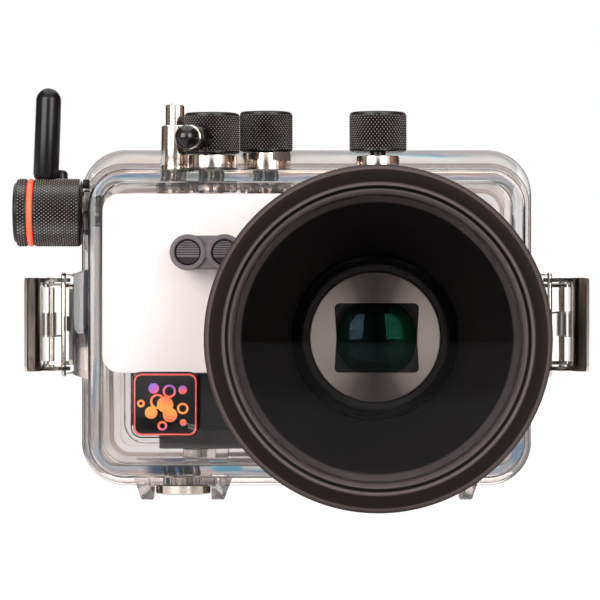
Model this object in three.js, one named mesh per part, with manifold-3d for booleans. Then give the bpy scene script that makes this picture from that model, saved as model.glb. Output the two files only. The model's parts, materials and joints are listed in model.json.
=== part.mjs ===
// Underwater housing for a compact camera: a clear case with a big black lens port.
// Millimetres, +Z up, the port looks along -Y and +X is on the viewer's right.
// The drawing frame has the port's axis at X = 0, Z = 0 and the joint between
// case and lid at Y = 0. The whole group is moved at the end, so that its origin
// is the middle of the underside of its bounding box.

import * as THREE from 'three';
import * as BufferGeometryUtils from 'three/addons/utils/BufferGeometryUtils.js';
import Module from 'manifold-3d';

const wasm = await Module();
wasm.setup();

// Driving dimensions of the clear case
const CASE_X = -22;               // middle of the case across its width
const CASE_WIDTH = 141.6;
const CASE_TOP = 54.4;
const CASE_BOTTOM = -45.6;
const CASE_DEPTH = 48;
const CASE_CORNER = 12;
const WALL = 4;
const FLANGE_WIDTH = 150;
const FLANGE_TOP = 58;
const FLANGE_BOTTOM = -49.5;
const FLANGE_CORNER = 13.5;
const FLANGE_THICK = 5;
const LID_WIDTH = 152;
const LID_TOP = 62.7;
const LID_BOTTOM = -50.7;
const LID_CORNER = 15;
const LID_RIM = 7;
const LID_PANEL = 4;
const FOOT_Z = -54;               // what the housing stands on
const GAP = 0.3;                  // left between pieces that touch

// Driving dimensions of the port and of the camera inside
const PORT_R = 54;                // outside of the port's front ring
const PORT_FRONT = -95;
const PORT_SIDES = 40;
const SPIGOT_R = 34.7;
const LENS_HOLE_R = 27;
const GLASS_R = 45.9;
const GLASS_FRONT = -86;
const GLASS_BACK = -83;
const CAMERA_LEFT = -76;
const CAMERA_RIGHT = 41.5;
const CAMERA_TOP = 32;
const CAMERA_BOTTOM = -30;
const CAMERA_FRONT = -34;
const CAMERA_BACK = -7;
const BARREL_R = 24;
const BARREL_FRONT = -52.5;
const RELEASE_AT = [-60.5, -27];  // the camera's own shutter button
const SCREW_AT = [-58.6, -24];
const SCREW_R = 3.1;

// Places of the controls, as [X, Y]
const POWER_AT = [-65.5, -22];
const ZOOM_AT = [-53.1, -32];
const MODE_AT = [-35.5, -14.5];
const RING_AT = [1.25, -37.4];
const SHUTTER_Y = -34;
const SHUTTER_Z = 40.6;
const REAR_PAD = [-52, -4];       // middle of the five rear buttons, as [X, Z]
const REAR_PITCH = 10.5;

// The latch, drawn at the left of the case with its middle at LATCH_Z
const LATCH_Z = 4;
const LATCH_HALF = 15.2;          // half the height of the lever
const SHEET = 1.3;                // thickness of its stainless sheet
const PIVOT = [-106.6, -20];      // pin that joins lever and base
const LINK = [-102.2, -26];       // where the wire bail hooks into the lever
const BAIL_WIRE = 1.6;
const SPRING_WIRE = 0.6;
const SPRING_R = 1.5;             // middle of the wire
const SPRING_TURNS = 6;
const SPRING_LENGTH = 8.6;

const deg = Math.PI / 180;

// Finishes, with colour, roughness and metalness as seen in the photograph

const finish = (color, roughness, metalness, opacity = 1) => new THREE.MeshStandardMaterial({
  color, roughness, metalness, opacity, transparent: opacity < 1,
});
const CLEAR = finish(0xe6eaec, 0.06, 0, 0.3);
const GLASS = finish(0xdfe9ea, 0.02, 0, 0.25);
const BLACK_COAT = finish(0x2b2523, 0.5, 0.3);
const BLACK_KNURL = finish(0x24201f, 0.55, 0.4);
const BLACK_PLASTIC = finish(0x1f1c1d, 0.4, 0);
const GREY_PLASTIC = finish(0x3d3a3c, 0.55, 0);
const WHITE_PLASTIC = finish(0xf6f5f7, 0.5, 0);
const STEEL = finish(0xc9c3bd, 0.22, 1);
const RED_RING = finish(0xff5a3a, 0.45, 0);
const RUBBER = finish(0x1a1a1a, 0.8, 0);
const CAMERA_SKIN = finish(0x262324, 0.6, 0);
const LENS_BLACK = finish(0x070909, 0.05, 0);

// Solids and joins

function solid(geometry) {
  const bare = geometry.clone();
  bare.deleteAttribute('normal');
  bare.deleteAttribute('uv');
  const merged = BufferGeometryUtils.mergeVertices(bare, 1e-4);
  return new wasm.Manifold(new wasm.Mesh({
    numProp: 3,
    vertProperties: merged.attributes.position.array,
    triVerts: Uint32Array.from(merged.index.array),
  }));
}

function geometryOf(shape) {
  const out = shape.getMesh();
  const geometry = new THREE.BufferGeometry();
  geometry.setAttribute('position', new THREE.BufferAttribute(out.vertProperties, 3));
  geometry.setIndex(new THREE.BufferAttribute(out.triVerts, 1));
  geometry.computeVertexNormals();
  return geometry;
}

const join = (first, ...rest) => rest.reduce((sum, next) => sum.add(next), first);
const cut = (first, ...rest) => rest.reduce((left, next) => left.subtract(next), first);

function piece(parent, name, shape, material) {
  const mesh = new THREE.Mesh(geometryOf(shape), material);
  mesh.name = name;
  parent.add(mesh);
  return mesh;
}

// A box between two corners
function box(x0, x1, y0, y1, z0, z1) {
  const geometry = new THREE.BoxGeometry(x1 - x0, y1 - y0, z1 - z0);
  geometry.translate((x0 + x1) / 2, (y0 + y1) / 2, (z0 + z1) / 2);
  return solid(geometry);
}

// A turned shape about Z: points are [radius, z] and go once round the section
function turned(points, sides = 20) {
  const profile = points.map(([r, z]) => new THREE.Vector2(r, z));
  const geometry = new THREE.LatheGeometry(profile, sides);
  geometry.rotateX(90 * deg);
  const shape = solid(geometry);
  return shape.volume() < 0 ? solid(flipped(geometry)) : shape;
}

function flipped(geometry) {
  const copy = geometry.clone();
  const index = copy.index.array;
  for (let i = 0; i < index.length; i += 3) {
    [index[i + 1], index[i + 2]] = [index[i + 2], index[i + 1]];
  }
  return copy;
}

// A solid disc or shaft about Z, from z0 to z1
function shaft(r, z0, z1, sides = 14) {
  return turned([[0, z0], [r, z0], [r, z1], [0, z1]], sides);
}

// A plain ring about Z
const ring = (inner, outer, z0, z1, sides = 24) => turned(
  [[inner, z0], [outer, z0], [outer, z1], [inner, z1], [inner, z0]], sides);

// Turn a shape made about Z so that its axis lies along Y, with z running to +Y
const alongY = (shape) => shape.rotate([-90, 0, 0]);
// The same along X, with z running to +X
const alongX = (shape) => shape.rotate([0, 90, 0]);

// A flat shape in X and Z, closed by round corners, extruded from y0 to y1
function slabY(x0, x1, z0, z1, corner, y0, y1, bevel = 0) {
  const shape = roundedRect(x0 + bevel, x1 - bevel, z0 + bevel, z1 - bevel, corner - bevel);
  const geometry = new THREE.ExtrudeGeometry(shape, {
    depth: y1 - y0 - 2 * bevel, curveSegments: 3, steps: 1,
    bevelEnabled: bevel > 0, bevelThickness: bevel, bevelSize: bevel, bevelSegments: 2,
  });
  geometry.rotateX(90 * deg);
  geometry.translate(0, y1 - bevel, 0);
  return solid(geometry);
}

function roundedRect(x0, x1, y0, y1, r) {
  const shape = new THREE.Shape();
  shape.moveTo(x0 + r, y0);
  shape.lineTo(x1 - r, y0);
  shape.absarc(x1 - r, y0 + r, r, -90 * deg, 0, false);
  shape.lineTo(x1, y1 - r);
  shape.absarc(x1 - r, y1 - r, r, 0, 90 * deg, false);
  shape.lineTo(x0 + r, y1);
  shape.absarc(x0 + r, y1 - r, r, 90 * deg, 180 * deg, false);
  shape.lineTo(x0, y0 + r);
  shape.absarc(x0 + r, y0 + r, r, 180 * deg, 270 * deg, false);
  return shape;
}

// A flat outline of [x, y] points, extruded upwards from z0 to z1
function plateZ(points, z0, z1) {
  const shape = new THREE.Shape(points.map(([x, y]) => new THREE.Vector2(x, y)));
  const geometry = new THREE.ExtrudeGeometry(shape, {
    depth: z1 - z0, bevelEnabled: false, steps: 1, curveSegments: 4,
  });
  geometry.translate(0, 0, z0);
  return solid(geometry);
}

// A strip of sheet seen from above: a centre line of [x, y] points given a thickness
function stripZ(line, thick, z0, z1) {
  const side = (sign) => line.map((point, i) => {
    const before = line[Math.max(i - 1, 0)];
    const after = line[Math.min(i + 1, line.length - 1)];
    const along = new THREE.Vector2(after[0] - before[0], after[1] - before[1]).normalize();
    return [point[0] - sign * along.y * thick / 2, point[1] + sign * along.x * thick / 2];
  });
  return plateZ([...side(1), ...side(-1).reverse()], z0, z1);
}

// A route of straight runs with round corners, sampled only where it bends
class Route extends THREE.Curve {
  constructor(corners, radius, arcSteps) {
    super();
    const places = corners.map((p) => new THREE.Vector3(...p));
    this.points = [places[0]];
    for (let i = 1; i < places.length - 1; i += 1) {
      const [a, b, c] = [places[i - 1], places[i], places[i + 1]];
      const start = b.clone().add(a.clone().sub(b).setLength(radius));
      const end = b.clone().add(c.clone().sub(b).setLength(radius));
      const bend = new THREE.QuadraticBezierCurve3(start, b, end);
      this.points.push(...bend.getPoints(arcSteps));
    }
    this.points.push(places[places.length - 1]);
  }

  getPoint(t, target = new THREE.Vector3()) {
    const at = Math.min(Math.max(t, 0), 1) * (this.points.length - 1);
    const i = Math.min(Math.floor(at), this.points.length - 2);
    return target.lerpVectors(this.points[i], this.points[i + 1], at - i);
  }

  getUtoTmapping(u) {
    return u;
  }
}

// A tube with flat ends along a curve
function tube(curve, r, sides, steps) {
  const corners = Array.from({ length: sides }, (_, i) => i * (360 / sides) * deg);
  const section = new THREE.Shape(corners.map((a) => new THREE.Vector2(r * Math.cos(a), r * Math.sin(a))));
  const geometry = new THREE.ExtrudeGeometry(section, {
    steps, extrudePath: curve, bevelEnabled: false,
  });
  const shape = solid(geometry);
  return shape.volume() < 0 ? solid(flipped(geometry)) : shape;
}

const wire = (corners, r, bendRadius, sides = 6, arcSteps = 4) => {
  const route = new Route(corners, bendRadius, arcSteps);
  return tube(route, r, sides, route.points.length - 1);
};

// The clear case

function frontShell() {
  const left = CASE_X - CASE_WIDTH / 2;
  const right = CASE_X + CASE_WIDTH / 2;
  const flangeLeft = CASE_X - FLANGE_WIDTH / 2;
  const flangeRight = CASE_X + FLANGE_WIDTH / 2;
  let shell = slabY(left, right, CASE_BOTTOM, CASE_TOP, CASE_CORNER, -CASE_DEPTH, -1, 1.6);
  shell = join(shell, slabY(flangeLeft, flangeRight, FLANGE_BOTTOM, FLANGE_TOP,
    FLANGE_CORNER, -FLANGE_THICK, 0));
  shell = join(shell, ...trayPads(), ...latchPads(left, right));
  shell = join(shell, alongX(shaft(SIDE_BOSS_R, left - SIDE_BOSS_OUT, left + 1, 20))
    .translate([0, SHUTTER_Y, SHUTTER_Z]));
  shell = cut(shell, slabY(left + WALL, right - WALL, CASE_BOTTOM + WALL, CASE_TOP - WALL,
    CASE_CORNER - WALL + 0.5, -CASE_DEPTH + WALL, 1));
  shell = join(shell, ...innerBosses(), ...trayPosts());
  const holes = [
    alongY(shaft(SPIGOT_R + GAP, -CASE_DEPTH - 1, -CASE_DEPTH + WALL + 1, PORT_SIDES)),
    ...GLANDS.map(({ at }) => shaft(GLAND_BODY_R + GAP, 40, CASE_TOP + 2).translate([...at, 0])),
    alongX(shaft(SIDE_GLAND_R + GAP, left - 5, left + 10)).translate([0, SHUTTER_Y, SHUTTER_Z]),
    alongX(shaft(SIDE_FLANGE_R + GAP, left - 5, left - SIDE_BOSS_OUT + SIDE_RECESS, 20))
      .translate([0, SHUTTER_Y, SHUTTER_Z]),
    ...INSERT_XS.map((x) => shaft(INSERT_BODY_R + GAP, -56, -40).translate([x, INSERT_Y, 0])),
  ];
  return cut(shell, ...holes);
}

// The boss on the left wall and the bush in it
const SIDE_BOSS_R = 7.4;
const SIDE_BOSS_OUT = 2.3;
const SIDE_RECESS = 1;
const SIDE_GLAND_R = 5;
const SIDE_FLANGE_R = 6.4;

const INSERT_XS = [-62.95, 18.95];
const INSERT_Y = -18;
const INSERT_BODY_R = 6;
const INSERT_DISC_R = 9.1;
const INSERT_DISC_THICK = 2.8;
const INSERT_BOTTOM = -52.3;
const PAD_BOTTOM = INSERT_BOTTOM + INSERT_DISC_THICK + GAP;
const PAD_HALF = 11;
// The lugs at the left, as ends of their foot and of their top in X; the others are mirrored
const LEFT_LUGS = [[-76.6, -72.6, -78.3, -72.3], [-53.4, -49.3, -53.6, -47.5]];
const LUG_Y = [-24, -10];

// Pads under the floor for the tray inserts, each between two lugs
function trayPads() {
  const pads = INSERT_XS.map((x) => box(x - PAD_HALF, x + PAD_HALF, -30, -6, PAD_BOTTOM, CASE_BOTTOM + 1));
  const mirror = (x) => 2 * CASE_X - x;
  const lugs = LEFT_LUGS.flatMap(([foot0, foot1, top0, top1]) => [
    lug(foot0, foot1, top0, top1),
    lug(mirror(foot1), mirror(foot0), mirror(top1), mirror(top0)),
  ]);
  return [...pads, ...lugs];
}

// A lug widens upwards, on its outer side like a gusset into the floor
function lug(foot0, foot1, top0, top1) {
  const floor = CASE_BOTTOM + 1;
  const points = [[foot0, FOOT_Z], [foot1, FOOT_Z], [top1, PAD_BOTTOM], [2 * top1 - foot1, floor],
    [2 * top0 - foot0, floor], [top0, PAD_BOTTOM]];
  const shape = new THREE.Shape(points.map(([a, b]) => new THREE.Vector2(a, b)));
  const geometry = new THREE.ExtrudeGeometry(shape, { depth: LUG_Y[1] - LUG_Y[0], bevelEnabled: false });
  geometry.rotateX(90 * deg);
  geometry.translate(0, LUG_Y[1], 0);
  return solid(geometry);
}

// Blocks on the sides that carry the latches, with sloping ends
const LATCH_PAD_OUT = 5.8;
function latchPads(left, right) {
  const half = 18;
  const slope = 1.4;
  const pad = (edge, sign) => {
    const points = [[edge - sign, LATCH_Z - half], [edge - sign, LATCH_Z + half],
      [edge + sign * 2, LATCH_Z + half], [edge + sign * LATCH_PAD_OUT, LATCH_Z + half - slope],
      [edge + sign * LATCH_PAD_OUT, LATCH_Z - half + slope], [edge + sign * 2, LATCH_Z - half]];
    const shape = new THREE.Shape(points.map(([a, b]) => new THREE.Vector2(a, b)));
    const geometry = new THREE.ExtrudeGeometry(shape, { depth: 22, bevelEnabled: false });
    geometry.rotateX(90 * deg);
    geometry.translate(0, -9, 0);
    return solid(geometry);
  };
  return [pad(left, -1), pad(right, 1)];
}

// Thick rings inside the roof and the left wall, where the glands pass
function innerBosses() {
  const roof = CASE_TOP - WALL + 0.5;
  const bosses = GLANDS.map(({ at, boss }) => shaft(boss, roof - 4, roof, 16).translate([...at, 0]));
  const wall = CASE_X - CASE_WIDTH / 2 + WALL - 0.5;
  bosses.push(alongX(shaft(7, wall, wall + 3, 16)).translate([0, SHUTTER_Y, SHUTTER_Z]));
  return bosses;
}

// Posts on the floor that carry the camera's tray
const TRAY_TOP = -30.3;
const TRAY_THICK = 6.5;
function trayPosts() {
  const floor = CASE_BOTTOM + WALL - 0.5;
  const top = TRAY_TOP - TRAY_THICK - GAP;
  return [-50.5, 27].map((x) => box(x - 3, x + 3, -29, -13, floor, top));
}

// Glands of the power button, zoom, mode and lens ring knobs: where they pass the roof, how
// wide and high they stand, and how wide the boss round them is under the roof
const GLANDS = [
  { at: POWER_AT, r: 4.95, top: 69.7, boss: 6 },
  { at: ZOOM_AT, r: 8.1, top: 59.4, boss: 8.5 },
  { at: MODE_AT, r: 8.4, top: 60.9, boss: 8.5 },
  { at: RING_AT, r: 7.3, top: 58.9, boss: 7 },
];
const GLAND_BODY_R = 4;
const GLAND_FOOT = 45.4;

// A turned bush with a flange that rests on the roof and a body that passes it
function gland({ at, r, top }, bore) {
  const seat = CASE_TOP + GAP;
  const profile = [[bore, GLAND_FOOT], [GLAND_BODY_R, GLAND_FOOT], [GLAND_BODY_R, seat], [r, seat],
    [r, top - 0.8], [r - 0.8, top], [bore, top], [bore, GLAND_FOOT]];
  return turned(profile, 20).translate([...at, 0]);
}

// The power gland is a tall tube: a wide bore for the button over a narrow one for its stem
function powerGland() {
  const { at, r, top } = GLANDS[0];
  const seat = CASE_TOP + GAP;
  const stemBore = 1.9;
  const capBore = 3.65;
  const step = 55.6;
  const profile = [[stemBore, GLAND_FOOT], [GLAND_BODY_R, GLAND_FOOT], [GLAND_BODY_R, seat], [r, seat],
    [r, top - 0.6], [r - 0.6, top], [capBore, top], [capBore, step], [stemBore, step],
    [stemBore, GLAND_FOOT]];
  return turned(profile, 18).translate([...at, 0]);
}

// The bush of the shutter shaft: its flange lies in the recess of the side boss
function shutterGland() {
  const seat = CASE_X - CASE_WIDTH / 2 - SIDE_BOSS_OUT + SIDE_RECESS - GAP;
  const front = seat - 0.7;
  const inner = seat + 9.7;
  const bore = SHUTTER_SHAFT_R + GAP;
  const profile = [[bore, front], [SIDE_FLANGE_R, front], [SIDE_FLANGE_R, seat], [SIDE_GLAND_R, seat],
    [SIDE_GLAND_R, inner], [bore, inner], [bore, front]];
  return alongX(turned(profile, 20)).translate([0, SHUTTER_Y, SHUTTER_Z]);
}

// Metal insert with a blind hole for a tray screw
function trayInsert(x) {
  const holeR = 3.2;
  const top = -42.2;
  const discTop = INSERT_BOTTOM + INSERT_DISC_THICK;
  const profile = [[0, top], [INSERT_BODY_R, top], [INSERT_BODY_R, discTop], [INSERT_DISC_R, discTop],
    [INSERT_DISC_R, INSERT_BOTTOM], [holeR, INSERT_BOTTOM], [holeR, top - 2], [0, top - 2]];
  return turned(profile.reverse(), 20).translate([x, INSERT_Y, 0]);
}

// The lid: a clear plate with a rim, a lip that enters the case and ledges for the latches

function rearLid() {
  const left = CASE_X - LID_WIDTH / 2;
  const right = CASE_X + LID_WIDTH / 2;
  let lid = slabY(left, right, LID_BOTTOM, LID_TOP, LID_CORNER, GAP, GAP + LID_RIM);
  lid = join(lid, lidLip(), ...lidLedges(left, right));
  lid = cut(lid, slabY(left + 14, right - 14, LID_BOTTOM + 14, LID_TOP - 16, 8,
    GAP + LID_PANEL, GAP + LID_RIM + 1));
  const bosses = rearPlaces().map(([x, z]) => alongY(shaft(4.6, GAP + 1, GAP + LID_RIM, 16))
    .translate([x, 0, z]));
  lid = join(lid, ...bosses);
  const holes = rearPlaces().map(([x, z]) => alongY(shaft(1.9, -1, GAP + LID_RIM + 1, 12))
    .translate([x, 0, z]));
  return cut(lid, ...holes);
}

const LIP_GAP = 0.5;
const SEAL_GROOVE = 1.6;
// Outline of the case's mouth, shrunk by a distance
function mouthSlab(shrink, y0, y1) {
  const left = CASE_X - CASE_WIDTH / 2 + WALL + shrink;
  const right = CASE_X + CASE_WIDTH / 2 - WALL - shrink;
  return slabY(left, right, CASE_BOTTOM + WALL + shrink, CASE_TOP - WALL - shrink,
    CASE_CORNER - WALL + 0.5 - shrink, y0, y1);
}

// The lip runs round inside the mouth and has a groove for the seal
function lidLip() {
  const lip = cut(mouthSlab(LIP_GAP, -4.2, GAP + 1), mouthSlab(4.2, -5, GAP + 2));
  const grooveBand = cut(mouthSlab(0, -3.3, -1.1), mouthSlab(LIP_GAP + SEAL_GROOVE, -4, 0));
  return cut(lip, grooveBand);
}

function lidSeal() {
  return cut(mouthSlab(GAP, -3.0, -1.4), mouthSlab(LIP_GAP + SEAL_GROOVE - GAP, -4, 0));
}

function lidLedges(left, right) {
  const half = 15.2;
  const out = 2.3;
  const ledge = (edge, sign) => {
    const points = [[edge - sign, LATCH_Z - half], [edge - sign, LATCH_Z + half],
      [edge + sign * 0.6, LATCH_Z + half], [edge + sign * out, LATCH_Z + half - 2],
      [edge + sign * out, LATCH_Z - half + 2], [edge + sign * 0.6, LATCH_Z - half]];
    const shape = new THREE.Shape(points.map(([a, b]) => new THREE.Vector2(a, b)));
    const geometry = new THREE.ExtrudeGeometry(shape, { depth: LEDGE_BACK - GAP, bevelEnabled: false });
    geometry.rotateX(90 * deg);
    geometry.translate(0, LEDGE_BACK, 0);
    return solid(geometry);
  };
  return [ledge(left, -1), ledge(right, 1)];
}
const LEDGE_BACK = 5.2;

function rearPlaces() {
  const [x, z] = REAR_PAD;
  return [[x, z], [x - REAR_PITCH, z], [x + REAR_PITCH, z], [x, z + REAR_PITCH], [x, z - REAR_PITCH]];
}

// A rear button: a domed cap outside, a stem through the lid and a soft tip inside
function rearButton([x, z]) {
  const capBack = GAP + LID_RIM + 3;
  const profile = [[0, -4], [2.6, -4], [2.6, -2.2], [1.6, -2.2], [1.6, capBack], [4, capBack],
    [4, capBack + 2.2], [3.2, capBack + 3], [0, capBack + 3.2]];
  return alongY(turned(profile, 12)).translate([x, 0, z]);
}

// The port: a bell that carries the flat glass in front of the camera's lens

function portBody() {
  const profile = [[LENS_HOLE_R, -40.6], [SPIGOT_R, -40.6], [SPIGOT_R, -48.3], [47, -48.3],
    [47, -53], [50.5, -60], [52.6, -66], [52.6, -84], [PORT_R, -84.6], [PORT_R, -86.2], [46.4, -86.2],
    [46.4, -81.1], [44.4, -81.1], [43.2, -80], [LENS_HOLE_R, -52], [LENS_HOLE_R, -40.6]];
  const body = turnedY(profile);
  return cut(body, turnedY([[37.2, -50.2], [39.8, -50.2], [39.8, -47], [37.2, -47], [37.2, -50.2]]));
}

// A turned shape about Y: points are [radius, y]
function turnedY(points, sides = PORT_SIDES) {
  return alongY(turned(points, sides));
}

function portFrontRing() {
  const profile = [[PORT_R, -86.5], [PORT_R, -93.5], [52.5, PORT_FRONT], [48.2, PORT_FRONT], [47.5, -94.3],
    [47.5, -92.6], [46, -92.6], [46, -88.6], [44.8, -87.4], [44.8, -86.5], [PORT_R, -86.5]];
  return turnedY(profile);
}

const portGlass = () => alongY(shaft(GLASS_R, GLASS_FRONT - 0.2, GLASS_BACK, PORT_SIDES));

// The seals in the port: radius and place of their middle, and radius of their section
const GLASS_SEAL = { r: 45.4, y: -82, section: 0.65 };
const PORT_SEAL = { r: 38.5, y: -49.1, section: 0.75 };

// A seal ring with a round section, about Y
function sealRing({ r, y, section }, sides = 28) {
  const points = [];
  for (let i = 0; i <= 6; i += 1) {
    const a = i * 60 * deg;
    points.push([r + section * Math.cos(a), y + section * Math.sin(a)]);
  }
  return turnedY(points, sides);
}

// Threaded ring inside the case that pulls the port's flange onto the front wall
function portNut() {
  const body = turnedY([[SPIGOT_R + GAP, -43.7], [40.5, -43.7], [40.5, -41], [SPIGOT_R + GAP, -41],
    [SPIGOT_R + GAP, -43.7]], 28);
  const notches = [0, 60, 120].map((a) => box(-50, 50, -42.4, -40, -1.6, 1.6).rotate([0, a, 0]));
  return cut(body, ...notches);
}

// Socket block for two fibre optic leads, with a plug in each hole

const FIBER_XS = [-60.2, -48.4];
const FIBER_Z = 27.3;
function fiberBlock() {
  const front = -57;
  const back = -CASE_DEPTH - GAP;
  const rims = FIBER_XS.map((x) => alongY(shaft(5.8, front, back, 24)).translate([x, 0, FIBER_Z]));
  const half = 5.4;
  const base = slabY(FIBER_XS[0] - half, FIBER_XS[1] + half, FIBER_Z - half, FIBER_Z + half, 5.2,
    front + 1.2, back);
  const holes = FIBER_XS.map((x) => alongY(shaft(4.2, front - 1, front + 7, 20)).translate([x, 0, FIBER_Z]));
  return cut(join(base, ...rims), ...holes);
}

// A plug has a ribbed face: flat bars across a disc
function fiberPlug(x) {
  const face = -56.2;
  const disc = alongY(shaft(3.9, face + 0.8, face + 5.6, 16));
  const bars = [-2.4, -0.8, 0.8, 2.4].map((z) => {
    const half = Math.sqrt(3.7 ** 2 - z ** 2);
    return box(-half, half, face, face + 1, z - 0.4, z + 0.4);
  });
  return join(disc, ...bars).translate([x, 0, FIBER_Z]);
}

// White plate inside the front wall that spreads the camera's flash

function flashDiffuser() {
  const plate = slabY(-88.3, -20, -11.7, 46.4, 6, -43.6, -41.6);
  return cut(plate, alongY(shaft(41.5, -46, -40, 36)));
}

function badgePlate() {
  const y1 = -CASE_DEPTH - GAP;
  const plate = slabY(-78.8, -56.6, -32.5, -11.1, 3.5, y1 - 2.6, y1);
  return cut(plate, slabY(-77.8, -57.5, -31.6, -11.75, 2.5, y1 - 4, y1 - 2));
}

// The camera that the housing is made round, and the tray that holds it

function cameraBody() {
  let body = slabY(CAMERA_LEFT, CAMERA_RIGHT, CAMERA_BOTTOM, CAMERA_TOP, 5, CAMERA_FRONT, CAMERA_BACK);
  body = join(body, slabY(CAMERA_LEFT - 3, CAMERA_LEFT + 11, CAMERA_BOTTOM, CAMERA_TOP - 14, 4,
    CAMERA_FRONT - 5, CAMERA_BACK - 6));
  body = join(body, alongY(shaft(26.2, -40.2, CAMERA_FRONT + 1, 28)));
  body = join(body, shaft(8, CAMERA_TOP - 1, CAMERA_TOP + 4.6, 24).translate([...MODE_AT, 0]));
  body = join(body, shaft(4.4, CAMERA_TOP - 1, CAMERA_TOP + 1.6, 16).translate([...RELEASE_AT, 0]));
  return cut(body, alongY(shaft(BARREL_R + 0.5, -60, CAMERA_BACK - 3, 28)));
}

function lensBarrel() {
  const barrel = turnedY([[0, -12], [BARREL_R, -12], [BARREL_R, BARREL_FRONT + 1.4],
    [BARREL_R - 0.8, BARREL_FRONT + 0.6], [21.2, BARREL_FRONT + 0.6], [20.9, BARREL_FRONT],
    [0, BARREL_FRONT]], 28);
  const mouth = slabY(-13.3, 14.3, -11.6, 11.2, 4.5, -60, BARREL_FRONT + 3);
  const step = slabY(-11.8, 12.8, -10.2, 9.8, 4, -60, BARREL_FRONT + 6);
  const well = alongY(shaft(11.6, -60, BARREL_FRONT + 10, 24)).translate([0.5, 0, -0.2]);
  return cut(barrel, mouth, step, well);
}

// Front element of the lens: a shallow dome in the bottom of the well
function lensElement() {
  const seat = BARREL_FRONT + 9.7;
  const profile = [[0, seat], [11.2, seat], [11.2, seat - 1.4], [9, seat - 2.4], [5, seat - 3.3],
    [0, seat - 3.7]];
  return turnedY(profile, 24).translate([0.5, 0, -0.2]);
}

function cameraTray() {
  const plate = slabY(-70.3, 36, TRAY_TOP - TRAY_THICK, TRAY_TOP, 2, -33, -9);
  return cut(plate, shaft(SCREW_R + 0.4, -40, -25).translate([...SCREW_AT, 0]));
}

// The screw that clamps the camera to its tray, with a wide flat head below
function cameraScrew() {
  const under = TRAY_TOP - TRAY_THICK - GAP;
  const headR = 4.2;
  const bottom = under - 3.1;
  const profile = [[0, bottom], [headR, bottom], [headR, under], [SCREW_R, under], [SCREW_R, TRAY_TOP],
    [0, TRAY_TOP]];
  return turned(profile, 16).translate([...SCREW_AT, 0]);
}

// Controls on the roof

// The push button: a domed cap in the gland, a stem below and a wide foot inside
function powerButton() {
  const foot = CAMERA_TOP + 3.4;
  const profile = [[0, foot], [2.3, foot], [2.3, foot + 2.4], [1.5, foot + 2.4], [1.5, 61.4], [3.3, 61.4],
    [3.3, 76.2], [2.9, 77], [1.8, 77.4], [0, 77.4]];
  return turned(profile, 20).translate([...POWER_AT, 0]);
}

// A wound spring about Z, from z0 upwards, as one tube with its ends cut square
function coil(r, wireR, turns, length, z0) {
  class Helix extends THREE.Curve {
    getPoint(t, target = new THREE.Vector3()) {
      const a = t * turns * 360 * deg;
      return target.set(r * Math.cos(a), r * Math.sin(a), z0 + t * length);
    }
  }
  return tube(new Helix(), wireR, 5, Math.round(turns * 8));
}

// Least distance between the surfaces of neighbouring turns of a coil, from points on its wire
function coilGap(r, wireR, turns, length) {
  const steps = 8;
  const rise = length / turns;
  let least = Infinity;
  for (let i = 0; i <= steps; i += 1) {
    const a = (i / steps) * 360 * deg;
    const low = new THREE.Vector3(r * Math.cos(a), r * Math.sin(a), (i / steps) * rise);
    for (let j = steps - 2; j <= steps + 2; j += 1) {
      const b = ((i + j) / steps) * 360 * deg;
      const high = new THREE.Vector3(r * Math.cos(b), r * Math.sin(b), ((i + j) / steps) * rise);
      least = Math.min(least, low.distanceTo(high) - 2 * wireR);
    }
  }
  return least;
}

const POWER_SPRING = { r: 2.5, wireR: 0.35, turns: 4, length: 4.9, z0: 56.2 };
const powerSpring = () => coil(POWER_SPRING.r, POWER_SPRING.wireR, POWER_SPRING.turns,
  POWER_SPRING.length, POWER_SPRING.z0).translate([...POWER_AT, 0]);

// A drum with chamfered edges and a hole from below for its shaft
function knob([x, y], r, z0, z1, holeR) {
  const c = 1;
  const profile = [[holeR, z0], [r - c, z0], [r, z0 + c], [r, z1 - c], [r - c, z1], [0, z1],
    [0, z1 - 4], [holeR, z1 - 4], [holeR, z0]];
  return turned(profile, 24).translate([x, y, 0]);
}

const KNOB_SHAFT_R = 2.6;
const ZOOM_KNOB_R = 9.25;
const MODE_KNOB_R = 8.95;
const RING_KNOB_R = 9.45;
const ZOOM_KNOB_Z = [59.9, 73.3];
const MODE_KNOB_Z = [61.3, 74.7];
const RING_KNOB_Z = [60.3, 73.3];

// Place of the ball on the end of the zoom lever
const BALL = [-60.75, -50, 64.6];
const BALL_R = 3.9;
const leverTurn = Math.atan2(BALL[1] - ZOOM_AT[1], BALL[0] - ZOOM_AT[0]) / deg;
const leverReach = Math.hypot(BALL[0] - ZOOM_AT[0], BALL[1] - ZOOM_AT[1]);

function zoomKnob() {
  const body = knob(ZOOM_AT, ZOOM_KNOB_R, ...ZOOM_KNOB_Z, KNOB_SHAFT_R + GAP);
  const hole = alongX(shaft(1.7, 5.5, 12)).rotate([0, 0, leverTurn]);
  return cut(body, hole.translate([...ZOOM_AT, BALL[2]]));
}

// The lever: a rod screwed into the knob, a sleeve that narrows outwards and a ball
function zoomLever() {
  const rod = shaft(1.3, 6, leverReach - 2, 16);
  const foot = ZOOM_KNOB_R + 0.4;
  const tip = leverReach - 3.2;
  const sleeve = turned([[0, foot], [4.6, foot], [3.7, tip], [0, tip]], 20);
  const ball = solid(new THREE.SphereGeometry(BALL_R, 12, 8)).translate([0, 0, leverReach]);
  return alongX(join(rod, sleeve, ball)).rotate([0, 0, leverTurn]).translate([...ZOOM_AT, BALL[2]]);
}

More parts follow.
